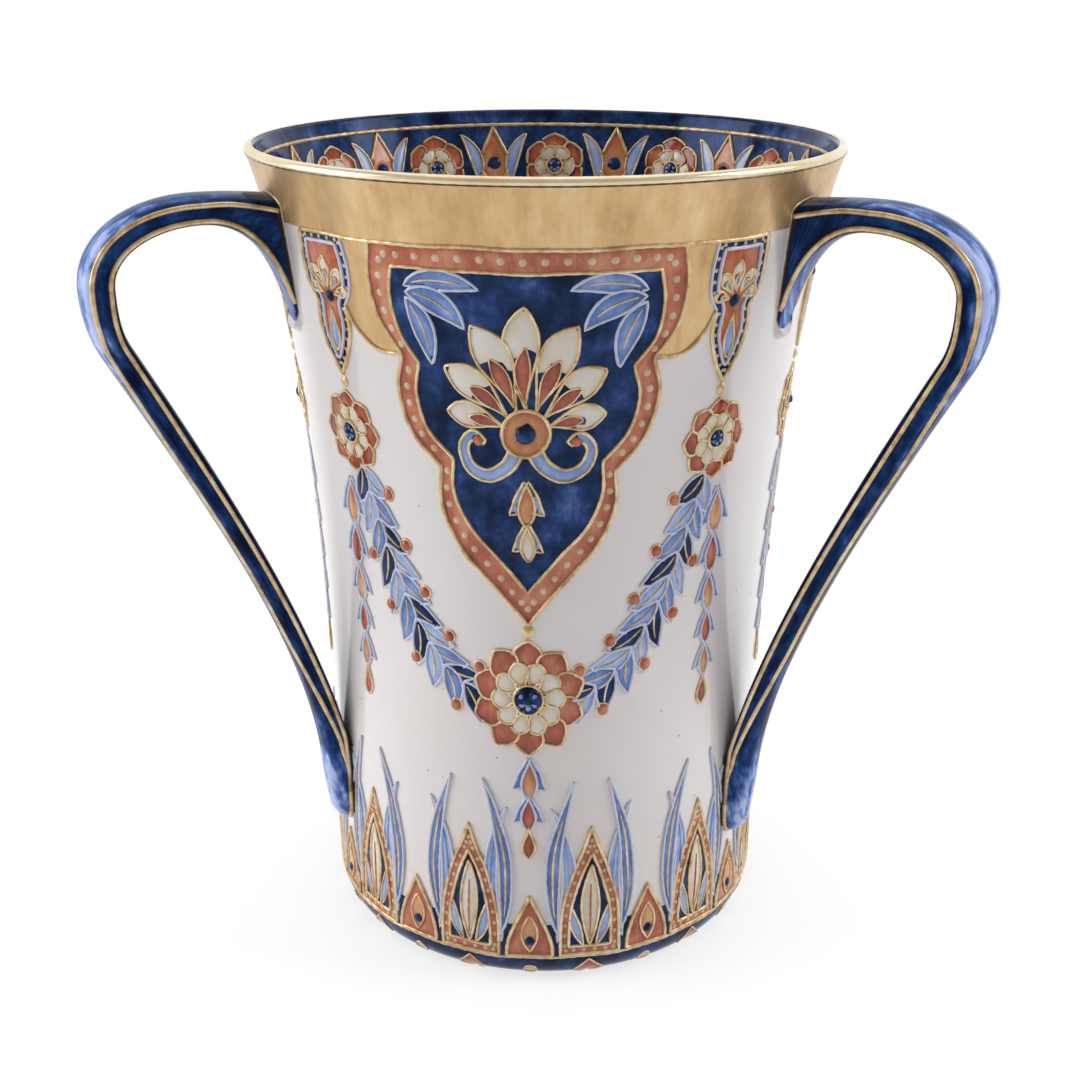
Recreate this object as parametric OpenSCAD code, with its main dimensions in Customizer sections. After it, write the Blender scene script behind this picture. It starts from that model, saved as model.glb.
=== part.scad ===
// Three-handled loving cup: a flared pottery beaker with strap handles luted on with slip.
// Millimetres, +Z up, origin on the cup's axis at the plane it stands on.

/* [Body] */
// Height from the foot to the lip
height = 200; // [170:1:240]
// Outer diameter of the wall at the foot
foot_d = 112.4; // [100:0.1:125]
// Outer diameter at the lip
rim_d = 142.8; // [130:0.1:160]
// How far the straight part of the wall leans out over the whole height
wall_draft = 1.3; // [0:0.1:3]
// Height at which the wall starts to flare
flare_z = 50; // [30:1:70]
// How sharply the flare opens towards the lip
flare_power = 2.5; // [2:0.1:3.5]
// Depth of the turned-out lip
lip_turn_h = 12; // [6:0.5:18]
// How far the lip turns out beyond the flare
lip_turn = 1.1; // [0:0.1:2.5]
// Wall thickness at the floor
wall_t = 4.2; // [3:0.1:6]
// Wall thickness at the lip
lip_t = 2.4; // [1.8:0.1:3.4]
// Thickness of the floor
floor_t = 5; // [4:0.1:9]
// Radius where the inside wall meets the floor
floor_r = 10; // [6:0.5:16]
// Radius of the outside bottom corner
corner_r = 7; // [4:0.5:11]
// Width of the flat ring that the cup stands on
foot_ring_w = 4.5; // [3:0.1:8]
// Depth of the recess inside the foot ring
foot_recess = 2.4; // [1:0.1:4]

/* [Handles] */
// Greatest radius that the handles reach from the axis
handle_reach = 111.8; // [104:0.1:124]
// Distance from the lip down to the top of a handle
handle_drop = 7.8; // [5:0.1:16]
// Radius from the axis at which the top of the arch starts to bend
arch_start = 85; // [82:0.5:92]
// Height of the arch, from its outermost point to its top
arch_h = 19.6; // [15:0.1:25]
// Drop from the outermost point to the start of the long leg
elbow_h = 15.6; // [12:0.1:20]
// How far the elbow has come in at the start of the long leg
elbow_in = 3.8; // [2:0.1:6]
// Height of the upper joint on the wall
spur_h = 31.7; // [22:0.1:38]
// Height at which the lower end lies down on the wall
join_z = 50; // [40:0.5:64]
// Height of the lower tip
tip_z = 29; // [20:0.5:34]
// Length of the rounded part of the lower tip
tip_l = 6.5; // [4:0.1:9]
// Strap thickness at the arch
strap_t = 6.9; // [5.5:0.1:9]
// Strap thickness on the long leg
leg_t = 6.9; // [5.5:0.1:9]
// Rise of the strap's rounded back above its side faces
dome_t = 2.1; // [1:0.1:3]
// Depth of the rounding along the strap's inner face
under_t = 0.65; // [0.3:0.05:1]
// How far the lower end stands off the wall where it lies down
tail_t = 6.9; // [5:0.1:8.5]
// How far it stands off the wall where its tip starts to round
tip_t = 5.3; // [3.5:0.1:6.5]
// Strap width at the arch
strap_w = 12; // [9:0.1:15]
// Strap width at the middle of the long leg
leg_w = 8.4; // [6.5:0.1:12]
// Width of the lower end on the wall
tail_w = 10.8; // [8:0.1:13]
// Share of its width that the upper joint loses towards its tip
spur_taper = 0.6; // [0:0.05:0.8]
// Depth of the rounding at the tip of the upper joint
spur_round = 2.6; // [1:0.1:4]

/* [Slip joints] */
// Thickness of the luting slip between a handle and the wall
slip_t = 0.6; // [0.3:0.05:1.2]
// How far the slip is squeezed out round a handle's end
slip_margin = 1.2; // [0.6:0.1:2]
// Clearance between the slip and the two faces that it joins
slip_clear = 0.08; // [0.04:0.01:0.15]

/* [Gilding] */
// Depth of the gilt band below the lip, outside
band_h = 14; // [8:0.5:18]
// Depth of the gilt edge over the lip
edge_h = 1.6; // [1.4:0.1:3]
// Thickness that the gilding is drawn with
gilt_t = 0.12; // [0.08:0.01:0.2]

/* [Trailed slip] */
// Radius at which distances across the wall are measured
drawn_r = 63.8; // [62:0.1:66]
// Width of a trailed line
trail_w = 1; // [0.6:0.05:1.4]
// How far a trailed line stands off the wall
trail_t = 0.6; // [0.3:0.05:0.9]
// Gap between the gilt band and the line that the panels hang from
hang_gap = 0.2; // [0.1:0.05:1]
// Half width of the middle panel, across the wall
panel_w = 33; // [28:0.5:35]
// Length of the middle panel
panel_l = 87; // [78:0.5:88]
// Width of its border
panel_border = 5; // [3.5:0.1:6]
// Gap between a side panel and the slip round a handle's upper joint
side_gap = 1.6; // [0.8:0.1:4]
// Half width of a side panel
side_w = 6.8; // [5:0.1:7.2]
// Length of a side panel
side_l = 32; // [27:0.5:36]
// Radius of the middle rosette
rose_r = 15; // [12:0.1:17]
// Radius of a side rosette
side_rose_r = 9.6; // [8:0.1:11]
// Gap between a panel's tip and the rosette under it
rose_gap = 4; // [2:0.1:6]
// Half width of the leafy festoon between the rosettes
festoon_w = 5; // [3:0.1:7]
// How far the festoon and the rosettes stand off the wall
festoon_t = 0.4; // [0.25:0.05:0.7]
// Height of the tall leaves round the foot
leaf_h = 44; // [36:0.5:48]
// Half width of a tall leaf
leaf_w = 8.6; // [7:0.1:8.8]
// Height of the short leaves between them
short_h = 25; // [18:0.1:28]
// Half width of a short leaf
short_w = 6.4; // [5:0.1:6.6]
// Distance from the lip down to the line inside the rim
inner_line = 3.4; // [3.1:0.1:6]
// Depth of the swags inside the rim, below that line
inner_depth = 25.6; // [20:0.1:32]

/* [Hidden] */

front_right = -30;
front_left = 207;
back = 90;

white_glaze = [0.9, 0.91, 0.93];
cobalt_glaze = [0.05, 0.09, 0.24];
slip_white = [0.86, 0.85, 0.82];
gold = [0.8, 0.62, 0.32];
leaf_blue = [0.35, 0.48, 0.76];

// Outer radius of the wall at a height above the foot corner
flare = (rim_d - foot_d) / 2 - wall_draft - lip_turn;
function flare_share(z) = pow(max(0, z - flare_z) / (height - flare_z), flare_power);
function lip_share(z) = pow(max(0, z - height + lip_turn_h) / lip_turn_h, 2);
function wall_r(z) = foot_d / 2 + wall_draft * z / height + flare * flare_share(z) + lip_turn * lip_share(z);
function wall_t_at(z) = wall_t + (lip_t - wall_t) * z / height;
function inner_r(z) = wall_r(z) - wall_t_at(z);

// Evenly spaced values from a to b, and points on an arc from one angle to another
function spread(a, b, n) = [for (i = [0:n]) a + (b - a) * i / n];
function arc(c, r, from, to, n) = [for (a = spread(from, to, n)) c + r * [cos(a), sin(a)]];

// A band that follows the outer wall between two heights, from one offset to another
function wall_band(z0, z1, near, far, n) = concat(
    [for (z = spread(z0, z1, n)) [wall_r(z) + near, z]],
    [for (z = spread(z1, z0, n)) [wall_r(z) + far, z]]);

// Heights up the wall, closer together where the lip turns out
lip_r = lip_t / 2;
lip_z = height - lip_r;
turn_z = height - lip_turn_h;
function wall_heights(low) = concat([for (i = [0:21]) low + (turn_z - low) * i / 22],
    spread(turn_z, lip_z, 8));
function backwards(list) = [for (i = [len(list) - 1:-1:0]) list[i]];

floor_z = foot_recess + floor_t;
foot_r = wall_r(corner_r) - corner_r;
recess_r = foot_r - foot_ring_w;

module cup_body() {
    outside = [for (z = wall_heights(corner_r)) [wall_r(z), z]];
    lip = arc([wall_r(lip_z) - lip_r, lip_z], lip_r, 20, 160, 6);
    inside = [for (z = backwards(wall_heights(floor_z + floor_r))) [inner_r(z), z]];
    floor_arc = arc([inner_r(floor_z + floor_r) - floor_r, floor_z + floor_r], floor_r, -10, -90, 6);
    base = [[0, floor_z], [0, foot_recess], [recess_r - foot_recess, foot_recess], [recess_r, 0]];
    corner = arc([foot_r, corner_r], corner_r, -90, -10, 6);
    color(white_glaze)
        rotate_extrude($fn = 120)
            polygon(concat(outside, lip, inside, floor_arc, base, corner));
}

// Heights and radii that the two edges of a handle pass through
top_z = height - handle_drop;
out_z = top_z - arch_h;
spur_z = top_z - spur_h;
elbow = [handle_reach - elbow_in, out_z - elbow_h];
leg_across = [0.89, -0.46] * leg_t;
join = [wall_r(join_z) + tail_t, join_z];

function bezier(p, t) = pow(1 - t, 3) * p[0] + 3 * pow(1 - t, 2) * t * p[1]
    + 3 * (1 - t) * t * t * p[2] + pow(t, 3) * p[3];
function straight(a, b) = [a, a + (b - a) / 3, b - (b - a) / 3, b];

// A curve whose middle points are given as shares of its run and of its rise
function shared(a, b, first, second) = [a, a + [first.x * (b.x - a.x), first.y * (b.y - a.y)],
    a + [second.x * (b.x - a.x), second.y * (b.y - a.y)], b];

// Stretches of a handle: outer edge, inner edge, half widths and tapers at both ends, how far the section
// has turned into the rounded lower end (start, end, power), rings
sag = 0.15 * strap_t;
root = [wall_r(top_z - sag), top_z - sag];
crown = [arch_start, top_z];
spur_foot = [wall_r(spur_z) + slip_t, spur_z];
under_arch = [arch_start, top_z - strap_t];
inner_out = [handle_reach - 1.12 * strap_t, out_z + 0.1 * strap_t];
sink = 0.05 * leg_t;
leg_lie = [wall_r(join_z) - sink, join_z];
round_z = tip_z + tip_l;
thumb = [wall_r(round_z) + tip_t, round_z];
leg_start = (strap_w + leg_w) / 4;
stretches = [
    [shared(root, crown, [0.33, 0.7], [0.67, 1]), shared(spur_foot, under_arch, [0.113, 0.562], [0.41, 1]),
     [0.57, 0.5] * strap_w, [spur_taper, 0], [0, 0, 1], 8],
    [shared(crown, [handle_reach, out_z], [0.56, 0], [1, 0.4]),
     shared(under_arch, inner_out, [0.5, 0], [1, 0.4]),
     [0.5, 0.47] * strap_w, [0, 0], [0, 0, 1], 9],
    [shared([handle_reach, out_z], elbow, [0, 0.32], [0.33, 0.7]),
     shared(inner_out, elbow - leg_across, [0, 0.3], [0.05, 0.7]),
     [0.47 * strap_w, leg_start], [0, -0.12], [0, 0, 1], 6],
    [shared(elbow, join, [0.44, 0.336], [0.915, 0.694]),
     shared(elbow - leg_across, leg_lie, [0.425, 0.329], [0.865, 0.699]),
     [leg_start, tail_w / 2], [-0.12, 0], [0, 0.4, 4], 18],
    [shared(join, thumb, [0.2, 0.36], [0.55, 0.72]),
     shared(leg_lie, [wall_r(round_z) - sink, round_z], [0.3, 0.3], [0.7, 0.7]),
     [0.5, 0.49] * tail_w, [0, 0], [0.4, 1, 0.6], 7],
];
leg = 3;

// Half of the section, from the outer to the inner edge. On the free strap: shares of the rounded back, of
// the side face and of the inner rounding, and share of the half width. On the rounded lower end: share of
// the way across and share of the half width.
section = [[0, 0, 0, 0, 0, 0], [0.15, 0, 0, 0.42, 0.08, 0.42], [0.5, 0, 0, 0.8, 0.29, 0.74],
           [1, 0, 0, 1, 0.6, 0.95], [1, 0.5, 0, 0.97, 0.86, 1], [1, 1, 0, 1, 1, 0.9],
           [1, 1, 0.45, 0.86, 1, 0.7], [1, 1, 0.85, 0.5, 1, 0.4], [1, 1, 1, 0, 1, 0]];
function free_share(s, t, under) = (s[0] * dome_t + s[1] * (t - dome_t - under) + s[2] * under) / t;
function under_at(narrow) = between([under_t, spur_round], max(0, narrow) / max(spur_taper, 0.01));
rows = len(section) - 1;
ring_n = 2 * rows;

// The long leg is slimmest at its middle
function between(pair, u) = pair[0] + (pair[1] - pair[0]) * u;
function waist(i, u) = i == leg ? (leg_w / 2 - between(stretches[i][2], 0.5)) * sin(180 * u) : 0;
function half_w(i, u) = between(stretches[i][2], u) + waist(i, u);
function taper(i, u) = between(stretches[i][3], u);
function rounded(i, u) = between(stretches[i][4], pow(u, stretches[i][4][2]));

// No point of a handle lies deeper than the slip on the wall
function seat_r(z, t) = sqrt(pow(wall_r(z) + slip_t + slip_clear, 2) - t * t);
function seated(r, t, z, on_wall) = [on_wall ? seat_r(z, t) : max(r, seat_r(z, t)), t, z];
function strap_point(o, i, b, k, side, narrow, round, on_wall) =
    let (s = section[k], free = free_share(s, norm(i - o), under_at(narrow)),
         v = between([free, s[4]], round), p = o + (i - o) * v, w = between([s[3], s[5]], round))
    seated(p.x, side * b * w * (1 - narrow * v), p.y, on_wall);
function ring(o, i, b, narrow, round, on_wall) = concat(
    [for (k = [0:rows]) strap_point(o, i, b, k, 1, narrow, round, on_wall)],
    [for (k = [rows - 1:-1:1]) strap_point(o, i, b, k, -1, narrow, round, on_wall)]);

// Every stretch starts where the last one ended, so only the last keeps its end ring
stations = [for (i = [0:len(stretches) - 1], j = [0:stretches[i][5] - (i == len(stretches) - 1 ? 0 : 1)])
    [i, j / stretches[i][5]]];
function station_ring(i, u) = ring(bezier(stretches[i][0], u), bezier(stretches[i][1], u),
    half_w(i, u), taper(i, u), rounded(i, u), i == 0 && u == 0);

// The rounded tip: smaller rings below the last one
function tip_ring(turn) = let (z = round_z - tip_l * sin(turn), r = wall_r(z)) ring(
    [r + tip_t * cos(turn), z], [r - sink, z], 0.49 * tail_w * cos(turn), 0, 1, false);

module handle() {
    rings = concat([for (s = stations) station_ring(s[0], s[1])],
        [for (turn = [18, 36, 52, 66, 77]) tip_ring(turn)]);
    last = len(rings) - 1;
    ring_points = [for (r = rings) each r];
    // Points down the middle of the upper end, so that it follows the round of the wall
    spine = [for (k = [1:rows - 1]) let (z = rings[0][k].z) [seat_r(z, 0), 0, z]];
    function right(k) = k;
    function left(k) = k == 0 || k == rows ? k : ring_n - k;
    function middle(k) = k == 0 || k == rows ? k : len(ring_points) + k - 1;
    sides = [for (i = [0:last - 1], j = [0:ring_n - 1])
        let (a = i * ring_n, b = a + ring_n, n = (j + 1) % ring_n)
        each [[a + j, b + n, b + j], [a + j, a + n, b + n]]];
    upper_end = [for (k = [0:rows - 1]) each concat(
        k > 0 ? [[right(k), middle(k), right(k + 1)], [left(k), left(k + 1), middle(k)]] : [],
        k < rows - 1 ? [[middle(k), middle(k + 1), right(k + 1)],
                        [middle(k), left(k + 1), middle(k + 1)]] : [])];
    lower_end = [for (j = [1:ring_n - 2]) [0, j, j + 1] + last * ring_n * [1, 1, 1]];
    color(cobalt_glaze)
        polyhedron(concat(ring_points, spine), concat(sides, upper_end, lower_end), 10);
}

module handle_front_right() rotate(front_right) handle();
module handle_front_left() rotate(front_left) handle();
module handle_back() rotate(back) handle();

// A prism from the axis outwards along +X, on an outline given as points across the handle and up
module outward(outline) {
    rotate([90, 0, 90])
        linear_extrude(rim_d)
            polygon(outline);
}

// A pad of slip: the skin of the wall inside such an outline
module slip_pad(outline, z0, z1) {
    color(slip_white)
        intersection() {
            rotate_extrude($fn = 120)
                polygon(wall_band(z0, z1, slip_clear / 2, slip_t, 16));
            outward(outline);
        }
}

function mirrored(half) = concat(half, [for (p = backwards(half)) [-p.x, p.y]]);

// The outline of a handle's upper end, let out by a margin
function upper_outline(margin) = mirrored([for (s = section) let (v = free_share(s, spur_h, spur_round))
    [(half_w(0, 0) + margin) * s[3] * (1 - spur_taper * v) + margin / 2,
     root.y + margin - (root.y - spur_z + 2 * margin) * v]]);

module upper_slip() slip_pad(upper_outline(slip_margin), spur_z - 2 * slip_margin, top_z + 2 * slip_margin);

module lower_slip() {
    w = tail_w / 2 + slip_margin;
    lie_l = join_z - tip_z;
    start_z = join_z + 0.4 * lie_l;
    end_z = tip_z - slip_margin;
    half = [[0.14 * w, start_z], [0.6 * w, join_z + 0.2 * lie_l], [0.95 * w, join_z],
            [w, join_z - 0.3 * lie_l], [w, round_z], [0.8 * w, tip_z + 0.35 * tip_l], [0.45 * w, tip_z],
            [0.14 * w, end_z]];
    slip_pad(mirrored(half), end_z - slip_margin, start_z + slip_margin);
}

module upper_slip_front_right() rotate(front_right) upper_slip();
module upper_slip_front_left() rotate(front_left) upper_slip();
module upper_slip_back() rotate(back) upper_slip();
module lower_slip_front_right() rotate(front_right) lower_slip();
module lower_slip_front_left() rotate(front_left) lower_slip();
module lower_slip_back() rotate(back) lower_slip();

// The gilt band runs up to the slip round each handle
module rim_gilding() {
    color(gold)
        difference() {
            rotate_extrude($fn = 120)
                polygon(wall_band(height - band_h, height - edge_h, slip_clear / 2, gilt_t, 8));
            for (turn = [front_right, front_left, back])
                rotate(turn)
                    outward(upper_outline(slip_margin + slip_clear));
        }
}

module lip_gilding() {
    c = [wall_r(lip_z) - lip_r, lip_z];
    drop = height - edge_h;
    color(gold)
        rotate_extrude($fn = 120)
            polygon(concat(
                [[wall_r(drop) + gilt_t, drop]],
                arc(c, lip_r + gilt_t, 10, 170, 10),
                [[inner_r(drop) - gilt_t, drop], [inner_r(drop) - slip_clear / 2, drop]],
                arc(c, lip_r + slip_clear / 2, 170, 10, 10),
                [[wall_r(drop) + slip_clear / 2, drop]]));
}

// Raised slip is drawn as points across the wall and up it
function across_turn(u) = u / drawn_r * 180 / PI;
function turned(r, turn, z) = [r * cos(turn), r * sin(turn), z];
function on_outside(p, lift) = turned(wall_r(p.y) + lift, across_turn(p.x), p.y);
function on_inside(p, lift) = turned(inner_r(p.y) - lift, -across_turn(p.x), p.y);

// A smooth curve through points, and runs of such curves that meet in corners
function catmull(a, b, c, d, t) = 0.5 * (2 * b + (c - a) * t + (2 * a - 5 * b + 4 * c - d) * t * t
    + (3 * b - a - 3 * c + d) * pow(t, 3));
function through(p, per) = concat(
    [for (i = [0:len(p) - 2], j = [0:per - 1]) catmull(i == 0 ? 2 * p[0] - p[1] : p[i - 1], p[i], p[i + 1],
        i == len(p) - 2 ? 2 * p[i + 1] - p[i] : p[i + 2], j / per)],
    [p[len(p) - 1]]);
function all_but_last(p) = [for (i = [0:len(p) - 2]) p[i]];
function joined(runs) = concat([for (run = runs) each all_but_last(run)],
    [runs[len(runs) - 1][len(runs[len(runs) - 1]) - 1]]);

// A closed outline from its right half, drawn from the top to the bottom
function both_halves(half) = concat(half, [for (i = [len(half) - 2:-1:1]) [-half[i].x, half[i].y]]);
function unit(v) = v / max(norm(v), 1e-6);
function left_of(v) = [-v.y, v.x];

// The point of a path moved to the left of the way it runs, mitred where the path turns
function moved(before, p, after, d) = let (a = left_of(unit(p - before)), b = left_of(unit(after - p)),
    n = unit(a + b)) p + n * d / max(n * a, 0.5);
function moved_loop(p, d) = let (n = len(p)) [for (i = [0:n - 1])
    moved(p[(i + n - 1) % n], p[i], p[(i + 1) % n], d)];

// A trailed line along a closed path: wide on the wall and narrower on its crest
crest = 0.28;

module trailed_loop(p, outside) {
    n = len(p);
    rows = [[-0.5, slip_clear], [0.5, slip_clear], [crest, trail_t], [-crest, trail_t]];
    sides = [for (row = rows) moved_loop(p, row[0] * trail_w)];
    points = [for (i = [0:n - 1], k = [0:3]) outside ? on_outside(sides[k][i], rows[k][1])
        : on_inside(sides[k][i], rows[k][1])];
    faces = [for (i = [0:n - 1], k = [0:3]) let (a = 4 * i, b = 4 * ((i + 1) % n), m = (k + 1) % 4)
        each [[a + k, b + k, b + m], [a + k, b + m, a + m]]];
    polyhedron(points, faces, 10);
}

// Panels hang from a line under the gilt band. Their half outlines are shares of half width and length.
hang_z = height - band_h - hang_gap - trail_w / 2;
function hung(run, at, w, top, l, per) = through([for (p = run) [at + p.x * w, top - p.y * l]], per);
function top_line(w, top, n) = [for (u = spread(0, w, n)) [u, top]];
panel_upper = [[1, 0], [1.04, 0.09], [1, 0.195], [0.85, 0.28]];
panel_middle = [[0.85, 0.28], [0.91, 0.375], [0.835, 0.485], [0.625, 0.57]];
panel_tip = [[0.625, 0.57], [0.63, 0.675], [0.5, 0.79], [0.25, 0.89], [0, 1]];
function lower_half(w, top, l) = joined([hung(panel_middle, 0, w, top, l, 3),
    hung(panel_tip, 0, w, top, l, 3)]);
drop_l = min(panel_l, 0.44 * height);
panel_low = lower_half(panel_w, hang_z, drop_l);
side_upper = [[1, 0], [1.09, 0.2], [1, 0.37], [0.68, 0.48]];
side_lower = [[0.68, 0.48], [0.76, 0.66], [0.47, 0.84], [0, 1]];

// The side panels keep clear of the handles' joints, in the narrowest bay too
narrow_bay = min(front_right - front_left + 360, back - front_right, front_left - back) / 2;
joint_half = half_w(0, 0) + 1.5 * slip_margin;
joint_turn = narrow_bay / 180 * PI - joint_half / wall_r(spur_z);
side_at = joint_turn * drawn_r - side_gap - side_upper[1].x * side_w;
side_inner = [for (p = backwards(side_lower)) [-p.x, p.y]];
side_notch = [side_at - side_lower[0].x * side_w, hang_z - side_lower[0].y * side_l];
panel_notch = panel_low[0];
dip = through([side_notch, side_notch + 0.2 * (panel_notch - side_notch) - [0, 0.1 * side_l],
    side_notch + 0.55 * (panel_notch - side_notch) - [0, 0.12 * side_l], panel_notch], 2);

// The outline of all three panels is one line, and the field of the middle panel is another
panel_outline = both_halves(joined([
    top_line(side_at + side_w, hang_z, 14), hung(side_upper, side_at, side_w, hang_z, side_l, 2),
    hung(side_lower, side_at, side_w, hang_z, side_l, 2),
    hung(side_inner, side_at, side_w, hang_z, side_l, 2), dip, panel_low]));
field_w = panel_w - panel_border;
field_z = hang_z - panel_border;
field_l = drop_l - 2.6 * panel_border;
field_outline = both_halves(joined([top_line(field_w, field_z, 7),
    hung(panel_upper, 0, field_w, field_z, field_l, 2), lower_half(field_w, field_z, field_l)]));

// A festoon of leaves hangs between the rosettes under the panels' tips
rose = [0, hang_z - drop_l - rose_gap - rose_r];
side_rose = [side_at, hang_z - side_l - rose_gap - side_rose_r];
sag_shares = [[0, 0], [0.17, 0], [0.33, 0.03], [0.51, 0.14], [0.69, 0.35], [0.84, 0.62], [0.95, 0.87],
              [1, 1]];
hanging = through(concat([for (s = sag_shares) [s.x * side_rose.x, rose.y + s.y * (side_rose.y - rose.y)]],
    [for (s = [0.5, 0.8, 0.97]) side_rose + side_rose_r * [0.1 * s, s]]), 2);
festoon_path = concat([for (i = [len(hanging) - 1:-1:1]) [-hanging[i].x, hanging[i].y]], hanging);
function disc(p, centre, r) = sqrt(max(0, r * r - pow(norm(p - centre), 2)));
function festoon_half(p) = let (q = [abs(p.x), p.y], end = disc(q, side_rose, side_rose_r))
    q.y > side_rose.y ? max(trail_w, end) : max(festoon_w, end, disc(q, rose, rose_r));

module festoon() {
    p = festoon_path;
    last = len(p) - 1;
    across = [-1, -0.5, 0, 0.5, 1];
    function spot(i, s, inset, lift) = on_outside(moved(i == 0 ? 2 * p[0] - p[1] : p[i - 1], p[i],
        i == last ? 2 * p[last] - p[last - 1] : p[i + 1], s * (festoon_half(p[i]) - inset)), lift);
    ring_of = 2 * len(across);
    points = [for (i = [0:last]) each concat([for (s = across) spot(i, s, 0, 1.5 * slip_clear)],
        [for (s = backwards(across)) spot(i, s, festoon_t, festoon_t)])];
    sides = [for (i = [0:last - 1], k = [0:ring_of - 1])
        let (a = ring_of * i, b = a + ring_of, m = (k + 1) % ring_of)
        each [[a + k, b + m, a + m], [a + k, b + k, b + m]]];
    function cap(a) = [for (k = [0:3]) each [[a + k, a + k + 1, a + 9 - k],
        [a + k + 1, a + 8 - k, a + 9 - k]]];
    first_cap = cap(0);
    last_cap = [for (f = cap(last * ring_of)) [f[2], f[1], f[0]]];
    color(leaf_blue)
        polyhedron(points, concat(sides, first_cap, last_cap), 10);
}

function bay_middle(a, b) = (a + b) / 2;
bay_front = bay_middle(front_left - 360, front_right);
bay_right = bay_middle(front_right, back);
bay_left = bay_middle(back, front_left);

module panel_line(turn) color(gold) rotate(turn) trailed_loop(panel_outline, true);
module field_line(turn) color(gold) rotate(turn) trailed_loop(field_outline, true);
module panel_line_front() panel_line(bay_front);
module panel_line_right() panel_line(bay_right);
module panel_line_left() panel_line(bay_left);
module field_line_front() field_line(bay_front);
module field_line_right() field_line(bay_right);
module field_line_left() field_line(bay_left);
module festoon_front() rotate(bay_front) festoon();
module festoon_right() rotate(bay_right) festoon();
module festoon_left() rotate(bay_left) festoon();

// One line draws the leaves round the foot, tall and short by turns. A short one stands below each handle.
leaf_n = 8;
short_z = min(short_h, tip_z - 2 * slip_margin - trail_w);
tall_half = [[-1, 0], [-0.97, 0.2], [-0.86, 0.42], [-0.58, 0.66], [-0.26, 0.84], [0, 1]];
short_half = [[-1, 0], [-0.93, 0.24], [-0.68, 0.52], [-0.3, 0.79], [0, 1]];
leaf_z = corner_r + trail_w;
function whole_leaf(half) = concat(half, [for (i = [len(half) - 2:-1:0]) [-half[i].x, half[i].y]]);
function leaf_points(half, at, w, h) = [for (p = whole_leaf(half))
    [at + p.x * w, leaf_z + p.y * (h - leaf_z)]];
function bay_leaves(from, to) = [for (i = [1:leaf_n])
    let (at = (from + (to - from) * i / leaf_n) / 180 * PI * drawn_r)
    each i % 2 == 1 ? leaf_points(tall_half, at, leaf_w, leaf_h)
        : leaf_points(short_half, at, short_w, short_z)];

module leaf_line_foot() color(gold) trailed_loop(concat(bay_leaves(front_left - 360, front_right),
    bay_leaves(front_right, back), bay_leaves(back, front_left)), true);

// Inside the rim: a line, and swags below it
inner_n = 12;
inner_z = height - inner_line - trail_w / 2;
swag_half = PI * drawn_r / inner_n;
swag_rise = 0.22 * inner_depth;

module swag_line_inside() {
    path = [for (i = [0:inner_n - 1], s = [-1, -0.67, -0.33, 0, 0.33, 0.67])
        [(2 * i + s) * swag_half, inner_z - inner_depth + swag_rise * s * s]];
    color(gold)
        rotate(back)
            trailed_loop(path, false);
}

module rim_line_inside() {
    z = [for (s = [-0.5, 0.5, crest, -crest]) inner_z + s * trail_w];
    color(gold)
        rotate_extrude($fn = 120)
            polygon([[inner_r(z[0]) - slip_clear, z[0]], [inner_r(z[1]) - slip_clear, z[1]],
                     [inner_r(z[2]) - trail_t, z[2]], [inner_r(z[3]) - trail_t, z[3]]]);
}

cup_body();
handle_front_right();
handle_front_left();
handle_back();
upper_slip_front_right();
upper_slip_front_left();
upper_slip_back();
lower_slip_front_right();
lower_slip_front_left();
lower_slip_back();
rim_gilding();
lip_gilding();
panel_line_front();
panel_line_right();
panel_line_left();
field_line_front();
field_line_right();
field_line_left();
festoon_front();
festoon_right();
festoon_left();
leaf_line_foot();
swag_line_inside();
rim_line_inside();
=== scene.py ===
import math
import bpy
import numpy as np
from mathutils.geometry import delaunay_2d_cdt
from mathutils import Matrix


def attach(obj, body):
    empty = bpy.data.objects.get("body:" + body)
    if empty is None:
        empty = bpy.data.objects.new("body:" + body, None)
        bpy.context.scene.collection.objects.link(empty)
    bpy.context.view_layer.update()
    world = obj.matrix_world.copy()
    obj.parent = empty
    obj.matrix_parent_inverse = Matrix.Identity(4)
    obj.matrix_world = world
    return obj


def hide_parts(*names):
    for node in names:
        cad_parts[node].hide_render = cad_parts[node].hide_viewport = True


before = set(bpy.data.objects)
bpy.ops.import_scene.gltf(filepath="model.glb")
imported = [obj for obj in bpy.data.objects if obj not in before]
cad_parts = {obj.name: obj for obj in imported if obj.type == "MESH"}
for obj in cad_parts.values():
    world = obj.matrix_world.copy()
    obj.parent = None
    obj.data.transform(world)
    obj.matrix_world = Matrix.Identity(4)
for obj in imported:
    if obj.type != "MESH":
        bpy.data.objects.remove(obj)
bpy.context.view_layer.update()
scene = bpy.context.scene
scene.view_settings.view_transform = "Standard"
mm = 0.001
print("frame loaded:", len(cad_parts), "nodes")

# camera, from the rim ellipse and the foot in the photograph
view = {"away": 0.380, "height": 0.24174, "pitch": 20.83, "turn": 2.5, "aside": -0.0013, "lens": 51.68,
        "sensor": 36.0, "clip": (0.01, 60.0)}


def placeCamera():
    turn = math.radians(view["turn"])
    eye = bpy.data.cameras.new("eye")
    eye.sensor_width = view["sensor"]
    eye.lens = view["lens"]
    eye.clip_start, eye.clip_end = view["clip"]
    holder = bpy.data.objects.new("eye", eye)
    across = np.array([math.cos(turn), math.sin(turn), 0.0])
    spot = np.array([view["away"] * math.sin(turn), -view["away"] * math.cos(turn), view["height"]])
    holder.location = spot + across * view["aside"]
    holder.rotation_euler = (math.radians(90.0 - view["pitch"]), 0.0, turn)
    scene.collection.objects.link(holder)
    scene.camera = holder


placeCamera()
print("camera placed")


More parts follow.
